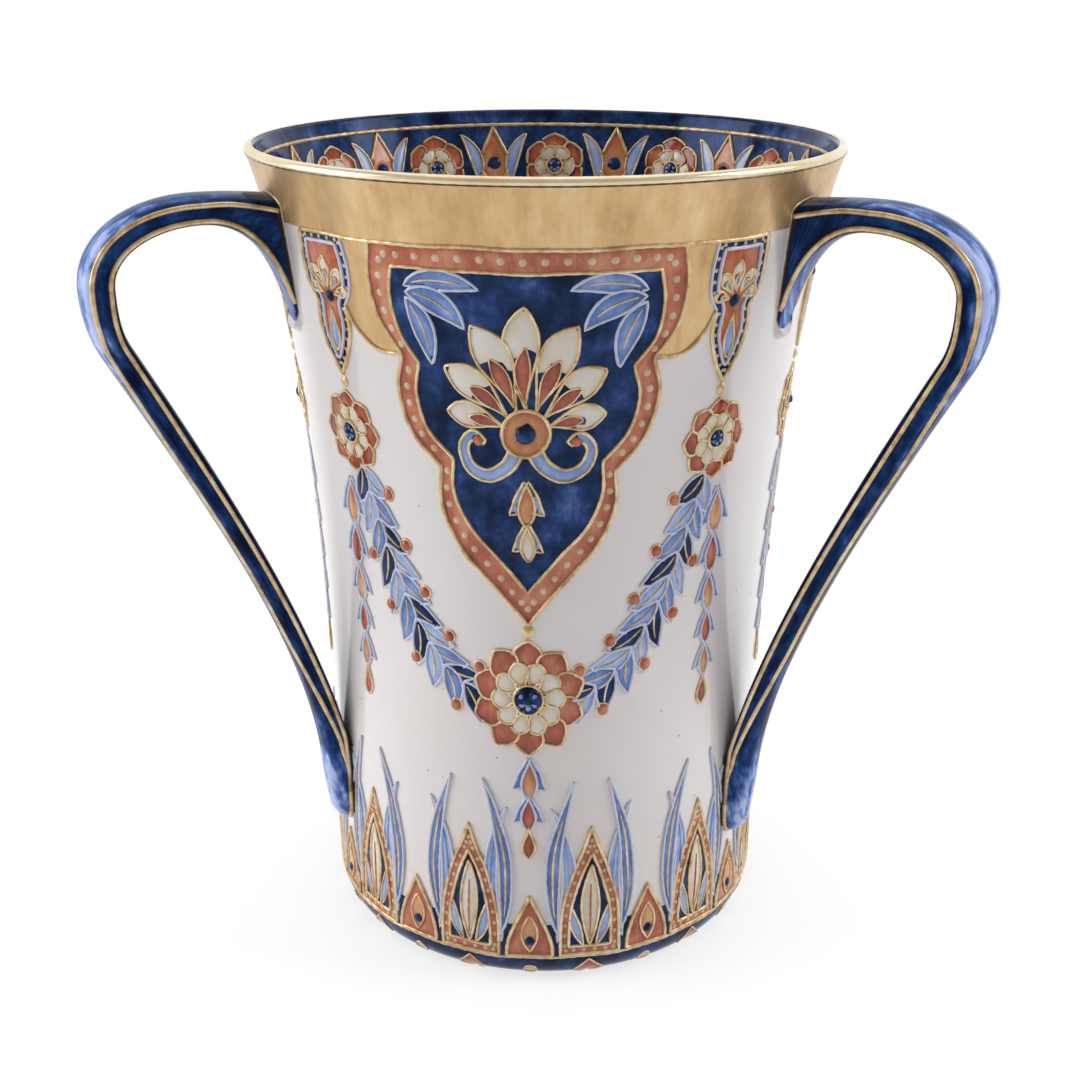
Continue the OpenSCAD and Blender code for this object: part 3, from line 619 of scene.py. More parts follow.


# painted highlight on the back, most of all at the shoulder, painted reflection under the arch and at the
# spur's tip, and paler on the lower end
def washAndPaintedLight(rows, stations, stop):
    look = handleWashAndLight
    every = np.arange(stations)
    back = np.clip(1.05 - np.abs(rows - look["backRow"]) / look["backWide"], 0, 1) ** 0.7
    tail = look["tail"] * np.clip((every - stop + look["tailStart"]) / look["tailRun"], 0, 1)
    light = [np.outer(np.interp(every, look["at"], look["back"]), back),
             np.outer(tail, np.clip(1.15 - rows / look["tailWide"], 0, 1)),
             np.outer(np.interp(every, look["spurAt"], look["spur"]),
                      np.clip((rows - look["underRow"]) / look["underRun"], 0, 1)),
             np.outer(np.interp(every, look["tipAt"], look["tip"]),
                      np.clip((rows - look["tipRow"]) / look["tipRun"], 0, 1))]
    return np.max(light, axis=0)


# two gilt lines on each side of a handle: they sit further out on the leg, and meet on the lower end
handleGilt = {"radius": 0.6, "sink": 0.24, "legAt": [54, 78], "outer": [3.15, 1.6], "inner": [4.62, 4.3],
              "meetStart": 38, "meetRun": 30, "meetDepth": 0.9}


def giltLines(rings, stop):
    look = handleGilt
    stations, around, _ = rings.shape
    half = around // 2
    fine = strap["fine"]
    every = np.arange(stations)
    away = rings - rings.mean(1, keepdims=True)
    away /= np.maximum(np.linalg.norm(away, axis=2, keepdims=True), 1e-9)
    # how deep each point of a ring lies between its back and its inner edge
    chord = rings[:, half] - rings[:, 0]
    length = np.maximum(np.sum(chord ** 2, 1), 1e-9)
    depth = np.sum((rings - rings[:, :1]) * chord[:, None], 2) / length[:, None]
    flank = np.arange(5 * fine + 1)
    first = stop - look["meetStart"]
    closer = np.clip((every - first) / look["meetRun"], 0, 1)
    closer = closer ** 2 * (3 - 2 * closer)

    def meeting(rows):
        share = np.interp(rows[first] * fine, flank, depth[first, flank])
        share = share + (look["meetDepth"] - share) * closer
        down = [np.interp(share[i], depth[i, flank], flank) / fine for i in every]
        return np.where(every > first, down, rows)

    def ridge(row, side):
        at = np.clip(row * fine, 0, half)
        low = np.floor(at).astype(int)
        part = (at - low)[:, None]
        high = np.minimum(low + 1, half)
        if side < 0:
            low, high = (around - low) % around, (around - high) % around
        spot = rings[every, low] * (1 - part) + rings[every, high] * part
        out = away[every, low] * (1 - part) + away[every, high] * part
        return spot - out * look["sink"], out

    outer = meeting(np.interp(every, look["legAt"], look["outer"]))
    inner = meeting(np.interp(every, look["legAt"], look["inner"]))
    there, thereOut = ridge(outer, 1)
    again, againOut = ridge(outer, -1)
    lines = [(np.concatenate([there, again[::-1]]), np.concatenate([thereOut, againOut[::-1]]))]
    for side in (1, -1):
        spot, out = ridge(inner, side)
        lines.append((spot[:stop], out[:stop]))
    return joined([tube(line, look["radius"], out, 10) for line, out in lines])


def makeHandles():
    rings, rounded = strapRings()
    stations, around, _ = rings.shape
    stop = int(np.argmax(rounded > 0.93))  # the lower end is round from here on
    middle = rings.mean(1)
    run = np.concatenate([[0], np.cumsum(np.linalg.norm(np.diff(middle, axis=0), axis=1))])
    loop = np.concatenate([rings, rings[:, :1]], 1)
    across = np.cumsum(np.linalg.norm(np.diff(loop, axis=1), axis=2), axis=1) * mm
    faces = ringFaces(stations, around, flip=True)
    faces += [list(range(around)), list(range((stations - 1) * around, stations * around))[::-1]]
    steps = np.arange(around)
    rows = np.minimum(steps, around - steps) / strap["fine"]
    below = (rows + np.roll(rows, -1)) / 2 > handleWashAndLight["underRow"]
    below = np.concatenate([np.tile(below, stations - 1), [False, False]])
    sides = np.clip(1 - np.abs(rows - handleWashAndLight["sideRow"]) / handleWashAndLight["sideWide"], 0, 1)
    # along carries the painted highlight and reflection on a handle
    values = {"along": washAndPaintedLight(rows, stations, stop).reshape(-1), "edge": np.tile(sides, stations),
              "run": np.repeat(run * handleWashAndLight["stretch"] * mm, around), "across": across.reshape(-1)}
    lines, lineFaces = giltLines(rings, stop)
    for name, degrees in handleTurns.items():
        addPiece("handle" + name, spin(rings.reshape(-1, 3), degrees), faces, [handleGlaze, underGlaze],
                 ["handle_" + nodeEnds[name]], values, below)
        addPiece("handleGilt" + name, spin(lines, degrees), lineFaces, [goldLine])
    return rings


strapShape = makeHandles()
print("handles pulled")

# gilt band under the lip; a handle's root hides the notch in its lower edge
gilt = {"top": 198.4, "low": 185.6, "over": 112.0, "rows": 14, "round": 720, "lift": 0.12, "clear": 4.5,
        "notch": 191.3}
# slip beads round the handle joints, gilt where they lie in the gilt band
bead = {"reach": 0.95, "rise": 0.7, "steps": 12, "inside": 0.35, "dark": 0.3, "tuck": 14.0, "drop": 3.6,
        "dropWide": 0.8, "dropHigh": 1.6, "lieGap": 0.9, "legStation": 60, "sideRow": 4.3}


def beadStrip(loop, outward, closed):
    shares = np.linspace(-bead["inside"], 1.0, bead["steps"])
    # under a spur the slip gathers in a pale drop, and its inner edge dips under the thin end of the handle
    height = loop[:, 1] - loop[:, 1].min()
    pearl = np.clip(1 - height / bead["drop"], 0, 1) * (1.0 if closed else 0.0)
    tuck = np.clip(height / bead["tuck"], 0, 1) if closed else np.ones(len(loop))
    reach = bead["reach"] * (1 + bead["dropWide"] * pearl)
    rise = bead["rise"] * (1 + bead["dropHigh"] * pearl)
    rows = []
    for e in shares:
        inward = max(0.0, -e) / bead["inside"]
        t = loop[:, 0] + outward[:, 0] * e * reach * (1 + 2 * pearl * inward)
        z = loop[:, 1] + outward[:, 1] * e * reach * (1 + 2 * pearl * inward)
        fall = np.clip(1 - e, 0, 1) ** (2.3 - 1.2 * pearl) + inward * (tuck - 0.9 * (1 - tuck))
        lift = rise * fall - 0.04 * max(0.0, e)
        r, zz = outside(z, lift)
        rows.append(np.stack([np.sqrt(np.maximum(r ** 2 - t ** 2, 0)), t, zz], -1))
    edge = np.clip(np.clip(shares, 0, 1)[:, None] + pearl[None, :], 0, 1)
    high = loop[:, 1] > gilt["low"]
    golden = (shares[:-1] > bead["dark"])[:, None] & (high if closed else high[1:])[None, :]
    faces = ringFaces(len(rows), len(loop), closed, flip=True)
    return np.concatenate(rows), faces, edge.reshape(-1), golden.reshape(-1)


def outwardOf(loop, closed):
    ahead = np.roll(loop, -1, 0) - np.roll(loop, 1, 0) if closed else np.gradient(loop, axis=0)
    ahead /= np.maximum(np.linalg.norm(ahead, axis=1, keepdims=True), 1e-9)
    out = np.stack([-ahead[:, 1], ahead[:, 0]], -1)
    return out if np.sum(out * (loop - loop.mean(0))) > 0 else -out


def makeJointSlips():
    fine = strap["fine"]
    rootLoop = strapShape[0][:, 1:3]
    inner = strapShape[:, 5 * fine]
    off = np.hypot(inner[:, 0], inner[:, 1]) - wallR(inner[:, 2])
    lies = (off < bead["lieGap"]) & (np.arange(len(off)) > bead["legStation"])
    one = strapShape[int(np.argmax(lies)):, int(bead["sideRow"] * fine), 1:3]
    lowLoop = np.concatenate([one, one[::-1] * np.array([-1, 1])])
    upper = beadStrip(rootLoop, outwardOf(rootLoop, True), True)
    lower = beadStrip(lowLoop, outwardOf(lowLoop, False), False)
    for name, degrees in handleTurns.items():
        for level, (points, faces, edge, golden) in (("upper", upper), ("lower", lower)):
            node = level + "_slip_" + nodeEnds[name]
            addPiece(level + "Slip" + name, spin(points, degrees), faces, [jointSlip, gold], [node],
                     {"edge": edge}, golden)


makeJointSlips()
print("joints luted")


def makeGilding():
    angles = np.arange(gilt["round"]) * 2 * math.pi / gilt["round"]
    low = np.full(gilt["round"], gilt["low"])
    for degrees in handleTurns.values():
        away = (np.degrees(angles) - degrees + 180) % 360 - 180
        along = np.abs(np.radians(away)) * float(wallR(gilt["low"]))
        low = np.where(along < gilt["clear"], gilt["notch"], low)
    rows = []
    for share in np.linspace(0, 1, gilt["rows"]):
        r, z = outside(low + (gilt["top"] - low) * share, gilt["lift"])
        rows.append(turned(r, angles, z))
    faces = ringFaces(gilt["rows"], gilt["round"])
    addPiece("rimGilding", np.concatenate(rows), faces, [gold], ["rim_gilding"])
    profile = [(float(outside(gilt["top"] - 0.2, 0.1)[0]), gilt["top"] - 0.2)]
    profile += arc(float(wallR(lipZ)) - lipR, lipZ, lipR + 0.1, 10, gilt["over"], 11)
    points, faces = lathe(profile, cup["round"])
    addPiece("lipGilding", points, faces, [lipHighlightGold], ["lip_gilding"])


makeGilding()
print("gilding laid")

# drawing kit for the painted ornament: millimetres across the wall and up it
draw = {"across": (cup["footD"] + cup["rimD"]) / 4, "line": 0.46, "wobble": 0.15, "grid": 2.3, "edge": 1.6,
        "step": 0.75, "flat": 0.08, "sunk": 0.1}


def openCurve(points, per=8):
    p = np.asarray(points, float)
    p = np.concatenate([[2 * p[0] - p[1]], p, [2 * p[-1] - p[-2]]])
    t = (np.arange(per) / per)[:, None]
    runs = []
    for i in range(1, len(p) - 2):
        a, b, c, d = p[i - 1], p[i], p[i + 1], p[i + 2]
        square = 2 * a - 5 * b + 4 * c - d
        cube = 3 * b - a - 3 * c + d
        runs.append(0.5 * (2 * b + (c - a) * t + square * t ** 2 + cube * t ** 3))
    return np.concatenate(runs + [p[-2:-1]])


# runs of smooth points that meet in corners
def cornered(*runs):
    parts = [openCurve(run) for run in runs]
    return np.concatenate([part[:-1] for part in parts[:-1]] + [parts[-1]])


def evenPath(path, step, closed=False):
    path = np.asarray(path, float)
    if closed:
        path = np.concatenate([path, path[:1]])
    gone = np.concatenate([[0], np.cumsum(np.linalg.norm(np.diff(path, axis=0), axis=1))])
    want = np.linspace(0, gone[-1], max(6, int(round(gone[-1] / step)) + 1))
    even = np.stack([np.interp(want, gone, path[:, 0]), np.interp(want, gone, path[:, 1])], -1)
    return even[:-1] if closed else even


# a closed outline from its right half, drawn from the top to the bottom
def symmetric(half):
    half = np.asarray(half, float)
    return np.concatenate([half, half[::-1][1:-1] * np.array([-1, 1])])


def at(points, u, h, side=1):
    return np.asarray(points, float) * np.array([side, 1.0]) + np.array([u, h])


def farFrom(points, outline):
    ahead = np.roll(outline, -1, 0) - outline
    size = np.maximum((ahead ** 2).sum(1), 1e-12)
    t = np.clip(((points[:, None, :] - outline[None]) * ahead[None]).sum(2) / size[None], 0, 1)
    near = outline[None] + t[..., None] * ahead[None]
    return np.sqrt(((points[:, None, :] - near) ** 2).sum(2)).min(1)


def within(points, outline):
    x, y = points[:, 0][:, None], points[:, 1][:, None]
    a, b = outline, np.roll(outline, -1, 0)
    crosses = (a[None, :, 1] > y) != (b[None, :, 1] > y)
    rise = np.where(np.abs(b[:, 1] - a[:, 1]) < 1e-12, 1e-12, b[:, 1] - a[:, 1])
    hit = x < (b[:, 0] - a[:, 0])[None] * (y - a[None, :, 1]) / rise[None] + a[None, :, 0]
    return (crosses & hit).sum(1) % 2 == 1


# the outline a fixed distance further in
def inset(outline, distance):
    path = evenPath(outline, 0.5, True)
    ahead = np.roll(path, -1, 0) - np.roll(path, 1, 0)
    ahead /= np.maximum(np.linalg.norm(ahead, axis=1, keepdims=True), 1e-9)
    inward = np.stack([-ahead[:, 1], ahead[:, 0]], -1) * distance
    trial = path + inward
    if within(trial, path).mean() < 0.5:
        trial = path - inward
    return trial[within(trial, path) & (farFrom(trial, path) > distance * 0.97)]


def sideways(spine):
    ahead = np.gradient(spine, axis=0)
    ahead /= np.maximum(np.linalg.norm(ahead, axis=1, keepdims=True), 1e-9)
    return np.stack([-ahead[:, 1], ahead[:, 0]], -1)


# a leaf from its base to its tip; fat is where it is widest
def leafShape(base, tip, width, bend=0.0, fat=0.42, per=18):
    base, tip = np.asarray(base, float), np.asarray(tip, float)
    run = tip - base
    s = np.linspace(0, 1, per)
    spine = base + np.outer(s, run) + np.outer(4 * s * (1 - s) * bend, [-run[1], run[0]])
    half = width / 2 * np.sin(math.pi * s ** (math.log(0.5) / math.log(fat))) ** 0.9
    off = sideways(spine) * half[:, None]
    return np.concatenate([spine + off, (spine - off)[::-1][1:-1]]), spine


def ribbonShape(spine, start, end):
    width = np.linspace(start, end, len(spine)) / 2
    off = sideways(spine) * width[:, None]
    return np.concatenate([spine + off, (spine - off)[::-1]])


def circleShape(u, h, radius, count=22):
    a = np.arange(count) * 2 * math.pi / count
    return np.stack([u + radius * np.cos(a), h + radius * np.sin(a)], -1)


# a filled shape: triangles over its outline with points inside, raised like a cushion
def fillShape(sheet, key, outline, lift=0.10, dome=0.12, grid=None, run=None):
    grid = grid or draw["grid"]
    rim = evenPath(outline, min(1.0, grid), True)
    low, high = rim.min(0), rim.max(0)
    columns = np.arange(low[0] + grid * 0.4, high[0], grid)
    gx, gy = np.meshgrid(columns, np.arange(low[1] + grid * 0.4, high[1], grid * 0.87))
    gx[1::2] += grid * 0.5
    inner = np.stack([gx.ravel(), gy.ravel()], -1)
    inner = inner[within(inner, rim)]
    if len(inner):
        inner = inner[farFrom(inner, rim) > grid * 0.35]
    spots = [tuple(p) for p in np.concatenate([rim, inner])]
    made = delaunay_2d_cdt(spots, [], [list(range(len(rim)))], 1, 1e-6)
    points = np.array([tuple(p) for p in made[0]])
    edge = np.clip(farFrom(points, rim) / draw["edge"], 0, 1)
    along = np.zeros(len(points))
    if run is not None:
        way = np.asarray(run[1], float) - np.asarray(run[0], float)
        along = np.clip((points - np.asarray(run[0], float)) @ way / (way @ way), 0, 1)
    raised = lift + dome * np.sin(edge * math.pi / 2)
    sheet["fills"].setdefault(key, []).append((points, [list(f) for f in made[2]], raised, edge, along))


# the open runs of a line that stay where part of it is covered
def freeRuns(path, size, closed, free):
    if closed:
        start = int(np.argmin(free))
        path, size, free = (np.roll(values, -start, 0) for values in (path, size, free))
    free = free | np.roll(free, 1) | np.roll(free, -1)
    cuts = np.flatnonzero(np.diff(free.astype(int))) + 1
    spans = np.split(np.arange(len(path)), cuts)
    return [(path[span], size[span]) for span in spans if free[span[0]] and len(span) > 3]


# a shape lies over what was drawn before it: raised shapes and lines go where it covers them
def cutUnder(sheet, outline):
    outline = np.asarray(outline, float)
    low, high = outline.min(0), outline.max(0)
    for key, lines in sheet["lines"].items():
        kept = []
        for path, size, closed, lift in lines:
            apart = (path.max(0) < low).any() or (path.min(0) > high).any()
            free = np.ones(len(path), bool) if apart else ~within(path, outline)
            if free.all():
                kept.append((path, size, closed, lift))
            elif free.any():
                kept += [(*run, False, lift) for run in freeRuns(path, size, closed, free)]
        sheet["lines"][key] = kept
    for key, fills in sheet["fills"].items():
        for i, (points, faces, raised, edge, along) in enumerate(fills):
            flat = raised.max() - raised.min() < draw["flat"]
            if flat or (points.max(0) < low).any() or (points.min(0) > high).any():
                continue
            hidden = within(points, outline)
            if hidden.any():
                left = [face for face in faces if not all(hidden[j] for j in face)]
                fills[i] = (points, left, np.where(hidden, -draw["sunk"], raised), edge, along)


def lineShape(sheet, key, path, radius=None, closed=False, taper=False, lift=0.10):
    even = evenPath(path, draw["step"], closed)
    size = np.full(len(even), radius or draw["line"])
    if taper:
        s = np.clip(np.linspace(0, 1, len(even)), 0.02, 0.98)
        size = size * (0.35 + 0.65 * np.sin(math.pi * s) ** 0.5)
    sheet["lines"].setdefault(key, []).append((even, size, closed, lift))


def edged(sheet, fill, line, outline, lift=0.10, dome=0.12, radius=None, grid=None, run=None):
    cutUnder(sheet, outline)
    fillShape(sheet, fill, outline, lift, dome, grid, run)
    lineShape(sheet, line, outline, radius, True, lift=lift + 0.04)


def leaf(sheet, fill, line, base, tip, width, bend=0.0, fat=0.42, lift=0.10, radius=0.38, rib=None):
    outline, spine = leafShape(base, tip, width, bend, fat)
    edged(sheet, fill, line, outline, lift, 0.22, radius, max(0.9, width * 0.28), (base, tip))
    if rib:
        lineShape(sheet, rib, spine[2:-4], radius * 0.7, False, True, lift + 0.22)


# a line right round the wall
def ringLine(sheet, key, h, radius, lift=0.10):
    u = np.arange(-480, 480) / 480 * math.pi * draw["across"]
    path = np.stack([u, np.full(len(u), float(h))], -1)
    sheet["lines"].setdefault(key, []).append((path, np.full(len(u), radius), True, lift))


def dot(sheet, fill, u, h, radius, lift=0.14):
    cutUnder(sheet, circleShape(u, h, radius))
    fillShape(sheet, fill, circleShape(u, h, radius), lift, radius * 0.45, max(0.35, radius * 0.45))


# hand-drawn unevenness, a little different in each bay
def unsteady(points, bay):
    if bay is None:
        return points
    u, h = points[:, 0], points[:, 1]
    du = np.sin(u / 5.3 + h / 7.9 + 2.1 * bay) + 0.6 * np.sin(h / 2.9 - u / 4.1 + bay)
    dh = np.cos(u / 6.1 - h / 5.2 + 1.3 * bay) + 0.6 * np.sin(u / 2.7 + h / 3.3 + 2.7 * bay)
    return points + draw["wobble"] * np.stack([du, dh], -1)


def onSurface(points, lift, centre, surface):
    r, z = surface(points[:, 1], lift)
    return turned(r, math.radians(centre) + points[:, 0] / draw["across"], z)


def freshSheet():
    return {"fills": {}, "lines": {}}


# a sheet drawn for one bay, added to a sheet that goes right round the cup
def addTurned(whole, sheet, centre, bay):
    move = np.array([math.radians(centre) * draw["across"], 0.0])
    for key, shapes in sheet["fills"].items():
        moved = [(unsteady(shape[0], bay) + move, *shape[1:]) for shape in shapes]
        whole["fills"].setdefault(key, []).extend(moved)
    for key, shapes in sheet["lines"].items():
        moved = [(unsteady(shape[0], bay) + move, *shape[1:]) for shape in shapes]
        whole["lines"].setdefault(key, []).extend(moved)


# the drawn sheet laid on the wall, one piece for each colour; standsFor names the solids that it replaces
def layPaint(prefix, sheet, centre, bay, surface, standsFor):
    flip = surface is inside
    for key in sorted(set(sheet["fills"]) | set(sheet["lines"])):
        parts, edges, alongs = [], [], []
        for flat, faces, lift, edge, along in sheet["fills"].get(key, []):
            spots = onSurface(unsteady(flat, bay), lift, centre, surface)
            parts.append((spots, [f[::-1] for f in faces] if flip else faces))
            edges.append(edge)
            alongs.append(along)
        for path, size, closed, lift in sheet["lines"].get(key, []):
            path = unsteady(path, bay)
            spots = onSurface(path, np.full(len(path), lift), centre, surface)
            out = onSurface(path, np.full(len(path), lift + 1.0), centre, surface) - spots
            wave = 1 + 0.12 * np.sin(path[:, 0] * 2.0 + path[:, 1] * 2.3)
            parts.append(tube(spots, size * wave, out, 6, closed))
            edges.append(np.ones(len(parts[-1][0])))
            alongs.append(np.full(len(parts[-1][0]), 0.5))
        points, faces = joined(parts)
        finish, slot = paints[key]
        addPiece(prefix + key[0].upper() + key[1:], points, faces, [finish], standsFor.get(key, ()),
                 {"edge": np.concatenate(edges), "along": np.concatenate(alongs)})


# a fan of lobes, like an anthemion
def palmette(sheet, u, h, lobes, start, fill, core, line):
    for angle, length, width in lobes:
        for side in ((1,) if angle == 0 else (1, -1)):
            a = math.radians(angle) * side
            way = np.array([math.sin(a), math.cos(a)])
            base = np.array([u, h]) + way * start
            tip = base + way * length
            leaf(sheet, fill, line, base, tip, width, 0.05 * side, 0.64, 0.12, 0.36)
            leaf(sheet, core, line, base + way * length * 0.06, base + way * length * 0.62, width * 0.42,
                 0.05 * side, 0.6, 0.30, 0.2)


# a bellflower that hangs: two outer sepals and a middle one
def husk(sheet, u, h, size, fill, sepal, line):
    for side in (1, -1):
        leaf(sheet, sepal, line, (u + side * 0.05 * size, h), (u + side * 0.40 * size, h - 0.72 * size),
             0.32 * size, -0.16 * side, 0.5, 0.10, 0.34)
    leaf(sheet, fill, line, (u, h - 0.06 * size), (u, h - size), 0.38 * size, 0.0, 0.58, 0.16, 0.34)


def rosette(sheet, u, h, radius, petals, fill, inner, line):
    spot = np.array([u, h])
    for size, colour, shift, lift, lineR in ((1.0, fill, 0.0, 0.10, 0.36), (0.66, inner, 0.5, 0.26, 0.28)):
        width = 2.1 * radius * size * math.sin(math.pi / petals) * 0.82
        for i in range(petals):
            a = 2 * math.pi * (i + shift) / petals
            way = np.array([math.sin(a), math.cos(a)])
            leaf(sheet, colour, line, spot + way * radius * 0.16, spot + way * radius * size, width, 0.0,
                 0.66, lift, lineR)
    dot(sheet, "cobalt", u, h, radius * 0.24, 0.5)
    lineShape(sheet, line, circleShape(u, h, radius * 0.26), 0.34, True, lift=0.55)
    for i in range(6):
        a = math.pi * i / 3
        seed = (u + radius * 0.13 * math.sin(a), h + radius * 0.13 * math.cos(a))
        dot(sheet, "paleBlue", *seed, radius * 0.05, 0.9)


# panels hang from a line under the gilt band; half outlines are shares of the half width and the length
hang = {"top": 185.3,
        "upper": [(1, 0), (1.04, 0.09), (1, 0.195), (0.85, 0.28)],
        "middle": [(0.85, 0.28), (0.91, 0.375), (0.835, 0.485), (0.625, 0.57)],
        "tip": [(0.625, 0.57), (0.63, 0.675), (0.5, 0.79), (0.25, 0.89), (0, 1)],
        "sideUpper": [(1, 0), (1.09, 0.2), (1, 0.37), (0.68, 0.48)],
        "sideLower": [(0.68, 0.48), (0.76, 0.66), (0.47, 0.84), (0, 1)]}
middleKeys = ("upper", "middle", "tip")
sideKeys = ("sideUpper", "sideLower")


def hung(key, u, half, top, length):
    return [(u + half * x, top - length * y) for x, y in hang[key]]


def panelOutline(keys, half, top, length):
    runs = [hung(key, 0.0, half, top, length) for key in keys]
    return symmetric(cornered([(0, top), (half / 2, top), (half, top)], *runs))


# a border and a field on it, with beads half way across the border
def panel(sheet, outline, field, ground, trim, innerLine, beadStep, beadR, lift=0.06):
    cutUnder(sheet, outline)
    fillShape(sheet, trim, outline, lift, 0.02)
    fillShape(sheet, ground, field, lift + 0.05, 0.03)
    lineShape(sheet, innerLine, field, 0.44, True, lift=lift + 0.08)
    edge = evenPath(field, 0.3, True)
    for spot in evenPath(outline, beadStep, True):
        across = np.linalg.norm(edge - spot, axis=1)
        middle = (spot + edge[int(across.argmin())]) / 2
        space = min(across.min() / 2, farFrom(middle[None], np.asarray(outline))[0]) - 0.5
        if space > 0.3:
            dot(sheet, "cream", middle[0], middle[1], min(beadR, space), lift + 0.06)


middlePanel = {"half": 33.0, "length": 87.0, "border": 5.0, "shorter": 2.6, "beads": (4.4, 0.85),
               "heart": (0, 145.5), "stem": 4.6, "disc": (0.6, 5.4, 2.2),
               "lobes": [(0, 23.0, 8.0), (26, 21.4, 7.6), (52, 18.0, 6.8), (79, 13.6, 5.8)],
               "scroll": [(1.6, 141.6), (4.2, 137.0), (8.8, 134.8), (13.2, 136.8), (14.6, 141.2),
                          (12.0, 144.2), (9.6, 142.4)],
               "scrollW": (3.4, 1.5), "scrollEye": (11.0, 142.8, 1.2),
               "corner": [((25.2, 176.4), (9.4, 176.6), 4.4, -0.10),
                          ((25.0, 175.0), (12.6, 168.0), 5.0, -0.12),
                          ((25.2, 173.8), (20.4, 159.6), 4.8, -0.08)],
               "husks": [(133.4, 11.0), (123.4, 9.2)], "bead": (96.4, 1.7)}


def drawMiddlePanel(sheet):
    look = middlePanel
    border = look["border"]
    outline = panelOutline(middleKeys, look["half"], hang["top"], look["length"])
    field = panelOutline(middleKeys, look["half"] - border, hang["top"] - border,
                         look["length"] - look["shorter"] * border)
    panel(sheet, outline, field, "cobalt", "rust", "goldLine", *look["beads"])
    eyeU, eyeH, eyeR = look["scrollEye"]
    for side in (1, -1):
        for foot, end, width, bend in look["corner"]:
            base, tip = at([foot, end], 0, 0, side)
            leaf(sheet, "midBlue", "paleLine", base, tip, width, bend * side, 0.45, 0.14, 0.36, "goldLine")
        spine = at(openCurve(look["scroll"]), 0, 0, side)
        edged(sheet, "paleBlue", "goldLine", ribbonShape(spine, *look["scrollW"]), 0.16, 0.2, 0.38, 1.0)
        dot(sheet, "ember", side * eyeU, eyeH, eyeR, 0.3)
    u, h = look["heart"]
    palmette(sheet, u, h, look["lobes"], look["stem"], "cream", "rust", "goldLine")
    lower, discR, coreR = look["disc"]
    edged(sheet, "ember", "goldLine", circleShape(u, h - lower, discR), 0.34, 0.3, 0.46, 1.3)
    dot(sheet, "cobalt", u, h - lower, coreR, 0.7)
    for i, (top, size) in enumerate(look["husks"]):
        husk(sheet, 0, top, size, "cream" if i % 2 else "ember", "paleBlue", "goldLine")
    dot(sheet, "gold", 0, *look["bead"], 0.1)


sidePanel = {"at": 47.4, "half": 6.8, "length": 32.0, "border": 1.9, "beads": (2.6, 0.45),
             "heart": 171.6, "stem": 1.8, "lobes": [(0, 7.0, 3.0), (38, 6.0, 2.8), (76, 4.4, 2.4)],
             "eye": (171.4, 1.4), "drop": (168.8, 158.6, 3.0), "bead": (151.4, 1.4)}


def drawSidePanels(sheet):
    look = sidePanel
    outline = panelOutline(sideKeys, look["half"], hang["top"], look["length"])
    start, end, width = look["drop"]
    for side in (1, -1):
        u = look["at"] * side
        shape = at(outline, u, 0)
        panel(sheet, shape, inset(shape, look["border"]), "rust", "cobalt", "paleLine", *look["beads"])
        palmette(sheet, u, look["heart"], look["lobes"], look["stem"], "cream", "paleBlue", "goldLine")
        dot(sheet, "cobalt", u, *look["eye"], 0.3)
        leaf(sheet, "paleBlue", "goldLine", (u, start), (u, end), width, 0.0, 0.62, 0.16, 0.32)
        dot(sheet, "gold", u, *look["bead"], 0.1)


# one line round all three panels, and the gilt ground between them
def drawPanelLine(sheet):
    top, side, middle = hang["top"], sidePanel, middlePanel
    reach = side["at"] + side["half"]
    lower = hung("sideLower", side["at"], side["half"], top, side["length"])
    inner = [(2 * side["at"] - u, h) for u, h in lower[::-1]]
    upper = hung("upper", 0.0, middle["half"], top, middle["length"])
    low = [hung(key, 0.0, middle["half"], top, middle["length"]) for key in ("middle", "tip")]
    start, end = np.array(inner[-1]), np.array(low[0][0])
    sag = np.array([0.0, side["length"]])
    dip = [start, start + 0.2 * (end - start) - 0.1 * sag, start + 0.55 * (end - start) - 0.12 * sag, end]
    sideUpper = hung("sideUpper", side["at"], side["half"], top, side["length"])
    line = cornered([(0, top), (reach / 2, top), (reach, top)], sideUpper, lower, inner, dip, *low)
    lineShape(sheet, "goldLine", symmetric(line), 0.52, True)
    innerUpper = [(2 * side["at"] - u, h) for u, h in sideUpper]
    ground = np.concatenate([openCurve(innerUpper), openCurve(dip)[1:], openCurve(upper)[::-1][1:]])
    for hand in (1, -1):
        fillShape(sheet, "gold", at(ground, 0, 0, hand), 0.03, 0.0)
        lineShape(sheet, "paleLine", at(openCurve(innerUpper), 0, 0, hand), 0.4)
        lineShape(sheet, "goldLine", at(openCurve(upper), 0, 0, hand), 0.46)


sideDrops = {"rose": (47.4, 139.7), "roseR": 9.6, "husksAt": 50.4,
             "husks": [(127.6, 12.4), (116.8, 11.6), (106.6, 10.8), (97.0, 10.0), (88.0, 9.2)],
             "drop": (79.6, 71.0, 3.4)}


def drawSideDrops(sheet):
    look = sideDrops
    start, end, width = look["drop"]
    roseU, roseH = look["rose"]
    for side in (1, -1):
        u = look["husksAt"] * side
        for i, (top, size) in enumerate(look["husks"]):
            husk(sheet, u, top, size, "rust" if i % 2 else "ember", "midBlue", "paleLine")
        leaf(sheet, "rust", "goldLine", (u, start), (u, end), width, 0.0, 0.66, 0.12, 0.34)
        rosette(sheet, roseU * side, roseH, look["roseR"], 8, "rust", "cream", "goldLine")


festoon = {"shares": [(1, 1), (0.95, 0.87), (0.84, 0.62), (0.69, 0.35), (0.51, 0.14), (0.33, 0.03),
                      (0.17, 0), (0, 0)],
           "pairs": 10, "leafL": (9.0, 12.6), "leafW": 5.0, "open": 33.0, "berry": (76.0, 6.4, 1.6),
           "rose": 79.3, "roseR": 15.0, "husks": [(63.4, 11.4), (53.6, 10.2)], "drop": (44.8, 36.0, 3.6)}


